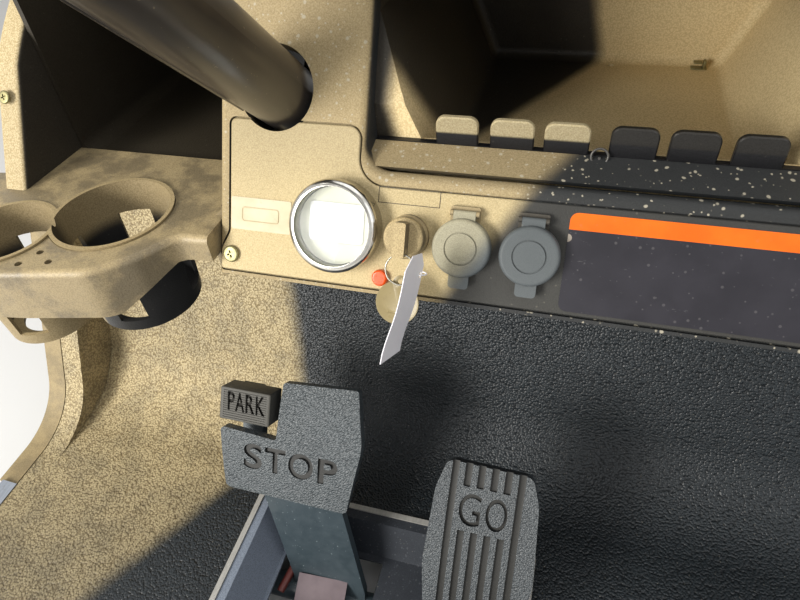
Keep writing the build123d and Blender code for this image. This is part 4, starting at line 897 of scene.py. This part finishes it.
def merged(nodeName, name):
    # a CAD node's mesh as a closed piece of its own, ready for carving
    piece = copied(nodes[nodeName])
    piece.parent = None
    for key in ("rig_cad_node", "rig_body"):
        if key in piece:
            del piece[key]
    piece.name = name
    only(piece)
    bpy.ops.mesh.customdata_custom_splitnormals_clear()
    return editAll(piece, (bpy.ops.mesh.remove_doubles, {"threshold": 0.00002}))


def stopCover():
    place = on("stopPad")
    piece = cut(merged("brake_pad", "stopCover"), move(spelled(stopLook, stopLook["letters"]), place))
    finished(piece, "stopCover", "padRubber", "brake", 30)
    paintRecessShade(piece, place, "paintedGrooveShade", stopLook)
    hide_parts("brake_pad")


def parkCover():
    place = on("stopPad")
    piece = bevelled(merged("park_pad", "parkCover"), parkLook["round"], 3)
    count, gap = parkLook["ribs"], parkLook["ribGap"]
    ribs = [brick(*parkLook["rib"], y=(index - (count - 1) / 2) * gap) for index in range(count)]
    cut(piece, move(joined(*ribs), on("stopPad", *parkLook["ribCentre"])))
    for letter in parkLook["letters"]:
        cut(piece, move(spelled(parkLook, (letter,)), place))
    finished(piece, "parkCover", "parkRubber", "park", 30)
    paintRecessShade(piece, place, "paintedLetterShade", parkLook)
    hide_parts("park_pad")


def goCover():
    place = on("goPad")
    piece = merged("accel_pad", "goCover")
    cutters = []
    for index in range(goLook["rows"]):
        x = goLook["middle"] + (index - (goLook["rows"] - 1) / 2) * goLook["pitch"]
        whole = index in (0, goLook["rows"] - 1)
        runs = [(goLook["lower"][0], goLook["upper"][1])] if whole else [goLook["upper"], goLook["lower"]]
        cutters += [grooveCutter(goLook, x, low, high) for low, high in runs]
    cut(piece, move(joined(*cutters), place))
    cut(piece, move(spelled(goLook, goLook["letters"]), place))
    finished(piece, "goCover", "goRubber", "accelerator", 30)
    paintRecessShade(piece, place, "paintedGrooveShade", goLook)
    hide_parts("accel_pad")


stopCover()
parkCover()
goCover()
print("pedal covers carved")

# fasteners, each kind made once and copied
screwLook = {
    "radius": 6.0, "height": 2.6, "round": 1.5, "slot": (5.4, 1.3, 3.0), "turns": (20, 110),
    "panel": (240, -29), "sidePanel": (440.5, 207.5, 547), "sidePanelLean": 57, "sidePanelScale": 0.85,
    "sillX": 622, "sillYs": (-300, -130, 40), "sillZ": 97.2, "sillScale": 0.8,
}
boltLook = {
    "washer": (9.5, 1.6), "head": (7.2, 5.2), "rim": (1.2, 0.35), "turn": (-90, 0, 0),
    "support": (350, 496), "supportZs": (600, 180), "bracket": (-146.5, 120, 149.5, 52),
}
combRingLook = {
    "radius": 5.0, "wire": 0.8, "pin": (0.9, 9.0, 0, -1.0, -4.5),
    "place": (1.0, 210.2, 533.0), "turn": (72, 0, 0),
}


def crossScrew():
    height = screwLook["height"]
    piece = bevelled(rod(screwLook["radius"], height, z=height / 2), screwLook["round"], 4)
    for turn in screwLook["turns"]:
        cut(piece, move(brick(*screwLook["slot"], z=height), turned(turn, "Z")))
    return piece


def hexBolt():
    (washerRadius, washerHeight), (headRadius, headHeight) = boltLook["washer"], boltLook["head"]
    washer = bevelled(rod(washerRadius, washerHeight, z=washerHeight / 2), 0.4, 2)
    head = bevelled(rod(headRadius, headHeight, z=washerHeight + headHeight / 2, facets=6), 0.7, 2, 20)
    return joined(washer, insetTop(head, *boltLook["rim"]))


def placeScrews():
    mould = crossScrew()
    x, up = screwLook["panel"]
    spots = [("panelScrew" + tag, on("panel", side * x, up), 1.0, "brass") for side, tag in sides]
    for side, tag in sides:
        x, y, z = screwLook["sidePanel"]
        place = at(side * x, y, z, (screwLook["sidePanelLean"], 0, 0))
        spots.append(("sidePanelScrew" + tag, place, screwLook["sidePanelScale"], "brass"))
        for index, y in enumerate(screwLook["sillYs"]):
            place = at(side * screwLook["sillX"], y, screwLook["sillZ"])
            spots.append(("sillScrew%s%d" % (tag, index), place, screwLook["sillScale"], "zinc"))
    for name, place, scale, finishName in spots:
        finished(copied(mould), name, finishName, "chassis", 30, place @ Matrix.Scale(scale, 4))
    bpy.data.objects.remove(mould)


def placeBolts():
    mould = hexBolt()
    spots = []
    for side, tag in sides:
        x, y = boltLook["support"]
        for index, z in enumerate(boltLook["supportZs"]):
            spots.append(("supportBolt%s%d" % (tag, index), side * x, y, z))
        middle, half, y, z = boltLook["bracket"]
        spots.append(("bracketBolt" + tag, middle + side * half, y, z))
    for name, x, y, z in spots:
        finished(copied(mould), name, "zinc", "chassis", 30, at(x, y, z, boltLook["turn"]))
    bpy.data.objects.remove(mould)


def combRing():
    ring = hoop(combRingLook["radius"], combRingLook["wire"], 48, 12)
    pin = rod(*combRingLook["pin"], facets=12)
    place = at(*combRingLook["place"], combRingLook["turn"])
    finished(joined(ring, pin), "combRing", "frameSteel", "chassis", 40, place)


placeScrews()
placeBolts()
combRing()
print("fasteners placed")

# gauge: a pale dial and its display; each layer has its height above the panel
dialLook = {
    "radius": 25.9, "rim": (1.1, 0.2), "thick": 0.5, "out": 4.95,
    "window": (39.0, 27.0), "centre": (0.5, 2.0), "corner": 3.0,
    "frameThick": 0.35, "frameLine": 0.35, "frameOut": 5.25,
    "glassThick": 0.25, "glassRim": (0.4, -0.1), "glassOut": 5.35,
}


def dial():
    width, height = dialLook["window"]
    line, corner, centre = (dialLook[key] for key in ("frameLine", "corner", "centre"))
    disc = rod(dialLook["radius"], dialLook["thick"], z=dialLook["thick"] / 2, facets=96)
    face = insetTop(disc, *dialLook["rim"])
    border = insetTop(roundedPlate(width, height, dialLook["frameThick"], corner, *centre), line, 0.2)
    inner = roundedPlate(width - 2 * line, height - 2 * line, dialLook["glassThick"], corner - line, *centre)
    window = insetTop(inner, *dialLook["glassRim"])
    layers = (
        (face, "dialFace", "dialWhite", dialLook["out"]),
        (border, "displayFrame", "dialGrey", dialLook["frameOut"]),
        (window, "displayWindow", "windowWhite", dialLook["glassOut"]),
    )
    for piece, name, finishName, out in layers:
        finished(piece, name, finishName, "chassis", 30, on("panel", gaugeX, 0, out))


# plates on the panel, and a faint raised frame
namePlateLook = {"left": -240.5, "right": -194.8, "low": -10.7, "high": 12.0, "thick": 0.5, "corner": 1.4}
plateInsetLook = {
    "left": -232, "right": -204, "low": -4.5, "high": 5.5, "thick": 0.85, "corner": 2.2, "rim": 1.1,
}
faintFrameLook = {"centre": (-112.5, 23), "width": 41, "height": 10, "line": 0.45, "thick": 0.14, "out": 0.05}


def plate(name, finishName, look):
    left, right, low, high = (look[key] for key in ("left", "right", "low", "high"))
    size = (right - left, high - low, look["thick"], look["corner"])
    piece = roundedPlate(*size, (left + right) / 2, (low + high) / 2)
    if "rim" in look:
        insetTop(piece, look["rim"], look["thick"] * 0.6)
    finished(piece, name, finishName, "chassis", 30, on("panel"))


def faintFrame():
    look = faintFrameLook
    x, up = look["centre"]
    bars = [(x, up + side * look["height"] / 2, look["width"], look["line"]) for side in (1, -1)]
    bars += [(x + side * look["width"] / 2, up, look["line"], look["height"]) for side in (-1, 1)]
    lines = [brick(width, height, look["thick"], x, up, look["out"]) for x, up, width, height in bars]
    finished(joined(*lines), "faintFrame", "binPlastic", "chassis", 0, on("panel"))


dial()
plate("labelPlate", "labelSheet", labelLook)
plate("namePlate", "plateCream", namePlateLook)
plate("namePlateInset", "plateCream", plateInsetLook)
faintFrame()
print("gauge and plates made")

# key ring, round disc, tag and the tag's loop, in place of the CAD fob
keyRingLook = {
    "radius": 9.8, "wire": 0.5, "turn": 690, "rise": 1.15, "steps": 96, "place": (keyX + 1.5, -21.0, 19.45),
}
keyDiscLook = {
    "radius": 14.2, "thick": 1.3, "rim": (1.3, 0.35), "ear": (4.6, 1.3, 1.0, 13.4),
    "hole": (1.6, 6, 1.0, 14.2), "mark": (7.0, 1.2, 0.8, -2.0, -6.5, 0.5), "place": (keyX + 0.5, -43.2, 18.0),
}
keyTagLook = {
    "width": 32.0, "length": 66.5, "thick": 0.5, "cuts": 9, "wave": 1.3, "waves": 5.0,
    "curlFrom": 0.2, "curl": 22, "hole": (2.0, 8, 12.5, 19),
    "clip": (24, 12, 12), "clipPlace": (16.2, 33.4), "clipTurn": 45,
    "turn": -11.9, "lean": 84.0, "place": (keyX + 10.9, -39.1, 41.6),
}
tagLoopLook = {"radius": 6.2, "wire": 0.45, "place": (keyX + 13.1, -20.9, 24.2)}


def keyRing():
    look = keyRingLook
    size = {"vertices": 10, "radius": look["wire"] * mm, "fill_type": "NOTHING"}
    piece = fresh(bpy.ops.mesh.primitive_circle_add, **size)
    move(piece, Matrix.Translation((look["radius"] * mm, 0, 0)) @ turned(90, "X"))
    turns = {"angle": math.radians(look["turn"]), "screw_offset": look["rise"] * mm, "axis": "Z"}
    modify(piece, "SCREW", steps=look["steps"], render_steps=look["steps"], **turns)
    editAll(piece, (bpy.ops.mesh.normals_make_consistent, {"inside": False}))
    pickNone(piece, "VERT")
    bpy.ops.mesh.select_non_manifold()
    bpy.ops.mesh.edge_face_add()
    bpy.ops.object.mode_set(mode="OBJECT")
    return finished(piece, "keyRing", "zinc", "fob_body", 50, on("panel", *look["place"]))


def keyDisc():
    look = keyDiscLook
    piece = insetTop(rod(look["radius"], look["thick"], facets=80), *look["rim"])
    combined(piece, rod(*look["ear"]), "UNION")
    cut(piece, rod(*look["hole"]))
    cut(piece, brick(*look["mark"]))
    bevelled(piece, 0.25, 2, 50)
    return finished(piece, "keyDisc", "discAmber", "fob_body", 40, on("panel", *look["place"]))


def keyTag():
    look = keyTagLook
    piece = brick(look["width"], look["length"], look["thick"])
    editAll(piece, (bpy.ops.mesh.subdivide, {"number_cuts": look["cuts"]}))
    for vertex in piece.data.vertices:
        along = vertex.co.y / (look["length"] * mm)
        wave = look["wave"] * mm * math.cos(along * look["waves"])
        vertex.co.z += wave + max(0.0, -along - look["curlFrom"]) ** 2 * look["curl"] * mm
    cut(piece, rod(*look["hole"]))
    across, up = look["clipPlace"]
    for side in (-1, 1):
        place = Matrix.Translation((side * across * mm, up * mm, 0)) @ turned(-side * look["clipTurn"], "Z")
        cut(piece, move(brick(*look["clip"]), place))
    place = on("panel", *look["place"]) @ turned(look["turn"], "Z") @ turned(look["lean"], "Y")
    return finished(piece, "keyTag", "tagPaper", "fob_body", 40, place)


def tagLoop():
    piece = hoop(tagLoopLook["radius"], tagLoopLook["wire"], 40, 10)
    place = on("panel", *tagLoopLook["place"]) @ turned(90, "X")
    return finished(piece, "tagLoop", "tagPaper", "fob_body", 50, place)


for piece in (keyRing(), keyDisc(), keyTag(), tagLoop()):
    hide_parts("key_fob")
print("key fob made")

# the bin's strike, the seam on the column and the cap of the wheel's hub
strikeLook = {
    "bricks": ((13, 7, 1.2, 0, 0, 0.6), (2.0, 6.0, 7.0, 4.0, 0, 4.0), (7.0, 6.0, 1.4, -1.5, 0, 5.4)),
    "round": 0.4, "place": (81, 435.5, 499),
}
seamLook = {  # each lip has its place across, its width and its height
    "lips": ((-2.6, 1.6, 4.2), (1.2, 2.2, 3.0)), "length": 325, "round": 0.6,
    "turn": 128, "out": 23.6, "along": 168,
}
hubCapLook = {
    "radius": 38, "height": 9, "round": 4.0, "rim": (6.0, 0.8), "middle": (8.0, -0.4, 8.2), "along": 445,
}


def binStrike():
    parts = [bevelled(brick(*size), strikeLook["round"], 2) for size in strikeLook["bricks"]]
    finished(joined(*parts), "binStrike", "brass", "chassis", 30, at(*strikeLook["place"]))


def columnSeam():
    lips = []
    for offset, width, height in seamLook["lips"]:
        lips.append(bevelled(brick(width, height, seamLook["length"], offset), seamLook["round"], 3))
    shift = Matrix.Translation((0, seamLook["out"] * mm, 0))
    place = on("column", out=seamLook["along"]) @ turned(seamLook["turn"], "Z") @ shift
    finished(joined(*lips), "columnSeam", "columnSteel", "chassis", 40, place)


def hubCap():
    piece = rod(hubCapLook["radius"], hubCapLook["height"], z=hubCapLook["height"] / 2, facets=96)
    bevelled(piece, hubCapLook["round"], 6)
    insetTop(piece, *hubCapLook["rim"])
    insetTop(piece, *hubCapLook["middle"])
    place = on("column", out=hubCapLook["along"])
    finished(piece, "hubCap", "wheelRubber", "steering", 35, place)


# behind the dash: studs on the gauge, blades on the key switch and the sockets
terminalLook = {
    "studs": [(gaugeX - 8, 6), (gaugeX + 8, 6)], "studOut": -55,
    "stud": (2.0, 12), "nut": (4.2, 3.2), "nutZ": 2.6,
    "blades": [(keyX, 4), (keyX, -8)] + [(x, up) for x in socketXs for up in (2, -12)], "bladeOut": -38,
    "blade": (6.3, 0.8, 9), "bladeHole": (0.9, 4), "bladeHoleZ": 7,
}


def stud():
    post = rod(*terminalLook["stud"], z=terminalLook["stud"][1] / 2)
    nut = bevelled(rod(*terminalLook["nut"], z=terminalLook["nutZ"], facets=6), 0.4, 2, 20)
    return joined(post, nut)


def blade():
    piece = bevelled(brick(*terminalLook["blade"], z=terminalLook["blade"][2] / 2), 0.25, 2)
    place = Matrix.Translation((0, 0, terminalLook["bladeHoleZ"] * mm)) @ turned(90, "X")
    return cut(piece, move(rod(*terminalLook["bladeHole"]), place))


def terminals():
    rows = [(stud, place, terminalLook["studOut"]) for place in terminalLook["studs"]]
    rows += [(blade, place, terminalLook["bladeOut"]) for place in terminalLook["blades"]]
    for index, (maker, (x, up), out) in enumerate(rows):
        place = on("panel", x, up, out) @ turned(180, "X")
        finished(maker(), "terminal%d" % index, "brass", "chassis", 30, place)


# in the tray's slot: a card and a red sleeve
cardLook = {"size": (56, 36, 0.7), "place": (-214, 78, 52), "turn": (28, 0, 3)}
sleeveLook = {"size": (4.2, 34), "place": (-256.5, 88, 51), "turn": (-80, 0, -12)}


def trayThings():
    card = bevelled(brick(*cardLook["size"]), 0.2, 2)
    place = at(*cardLook["place"], cardLook["turn"])
    finished(card, "slotCard", "cardWhite", "chassis", 30, place)
    sleeve = bevelled(rod(*sleeveLook["size"]), 0.8, 3)
    place = at(*sleeveLook["place"], sleeveLook["turn"])
    finished(sleeve, "redSleeve", "redSleeve", "chassis", 40, place)


binStrike()
columnSeam()
hubCap()
terminals()
trayThings()
print("details made")

# stage, light and camera, in metres
floorLook = {"size": 12.0, "gap": 0.0005, "colour": (0.82, 0.82, 0.81, 1.0), "rough": 0.8}
skyLook = {"soft": (1.0, 0.99, 0.97, 1.0), "softness": 0.42, "pale": (0.9, 0.9, 0.89, 1.0), "paleness": 1.0}
lampTarget = (-0.05, 0.1, 0.35)
lampLooks = {
    "keyLamp": {"place": (-1.9, -1.8, 1.6), "size": 0.9, "power": 54.0, "colour": (1.0, 0.97, 0.91)},
    "fillLamp": {"place": (1.7, -1.2, 2.2), "size": 1.8, "power": 13.0, "colour": (0.95, 0.97, 1.0)},
    "frontLamp": {"place": (-1.5, -2.0, 1.0), "size": 0.9, "power": 48.0, "colour": (1.0, 0.98, 0.94)},
    "topLamp": {"place": (0.1, 0.2, 2.9), "size": 1.8, "power": 12.0, "colour": (1.0, 1.0, 1.0)},
}
cameraLook = {
    "place": (-0.016, -0.135, 0.728), "turn": (46.8766, 3.8882, 15.5934), "lens": 27.0, "sensor": 36.0,
}


def studioFloor():
    place = (0, 0, cadBox[0][2] - floorLook["gap"])
    ground = fresh(bpy.ops.mesh.primitive_plane_add, size=floorLook["size"], location=place)
    ground.name = "studioFloor"
    finish = Finish("studioFloor", Base_Color=floorLook["colour"], Roughness=floorLook["rough"])
    ground.data.materials.append(finish.material)


def studioSky():
    # soft light on the object, a pale backdrop where the camera or a shiny finish sees it
    world = bpy.data.worlds.new("studio")
    bpy.context.scene.world = world
    world.use_nodes = True
    world.node_tree.nodes.clear()
    sky = Graph(world.node_tree)
    camera = sky.make("ShaderNodeLightPath", out="Is Camera Ray")
    rays = camera.socket.node.outputs
    glossy, through = (Signal(sky, rays[name]) for name in ("Is Glossy Ray", "Is Transmission Ray"))
    seen = camera.most(glossy.most(through))
    soft = sky.make("ShaderNodeBackground", {}, {"Color": skyLook["soft"], "Strength": skyLook["softness"]})
    pale = sky.make("ShaderNodeBackground", {}, {"Color": skyLook["pale"], "Strength": skyLook["paleness"]})
    mixed = sky.make("ShaderNodeMixShader", {}, {0: seen, 1: soft, 2: pale})
    sky.make("ShaderNodeOutputWorld", {}, {"Surface": mixed})


def studioLamps():
    for name, look in lampLooks.items():
        data = bpy.data.lights.new(name, "AREA")
        data.size = look["size"]
        data.energy = look["power"]
        data.color = look["colour"]
        lamp = bpy.data.objects.new(name, data)
        lamp.location = look["place"]
        aim = Vector(lampTarget) - Vector(look["place"])
        lamp.rotation_euler = aim.to_track_quat("-Z", "Y").to_euler()
        bpy.context.scene.collection.objects.link(lamp)


def photoCamera():
    data = bpy.data.cameras.new("photoCamera")
    data.lens = cameraLook["lens"]
    data.sensor_width = cameraLook["sensor"]
    camera = bpy.data.objects.new("photoCamera", data)
    camera.location = cameraLook["place"]
    camera.rotation_euler = [math.radians(angle) for angle in cameraLook["turn"]]
    bpy.context.scene.collection.objects.link(camera)
    bpy.context.scene.camera = camera


studioFloor()
studioSky()
studioLamps()
photoCamera()
bpy.context.scene.view_settings.view_transform = "Standard"
print("stage, lamps and camera set")
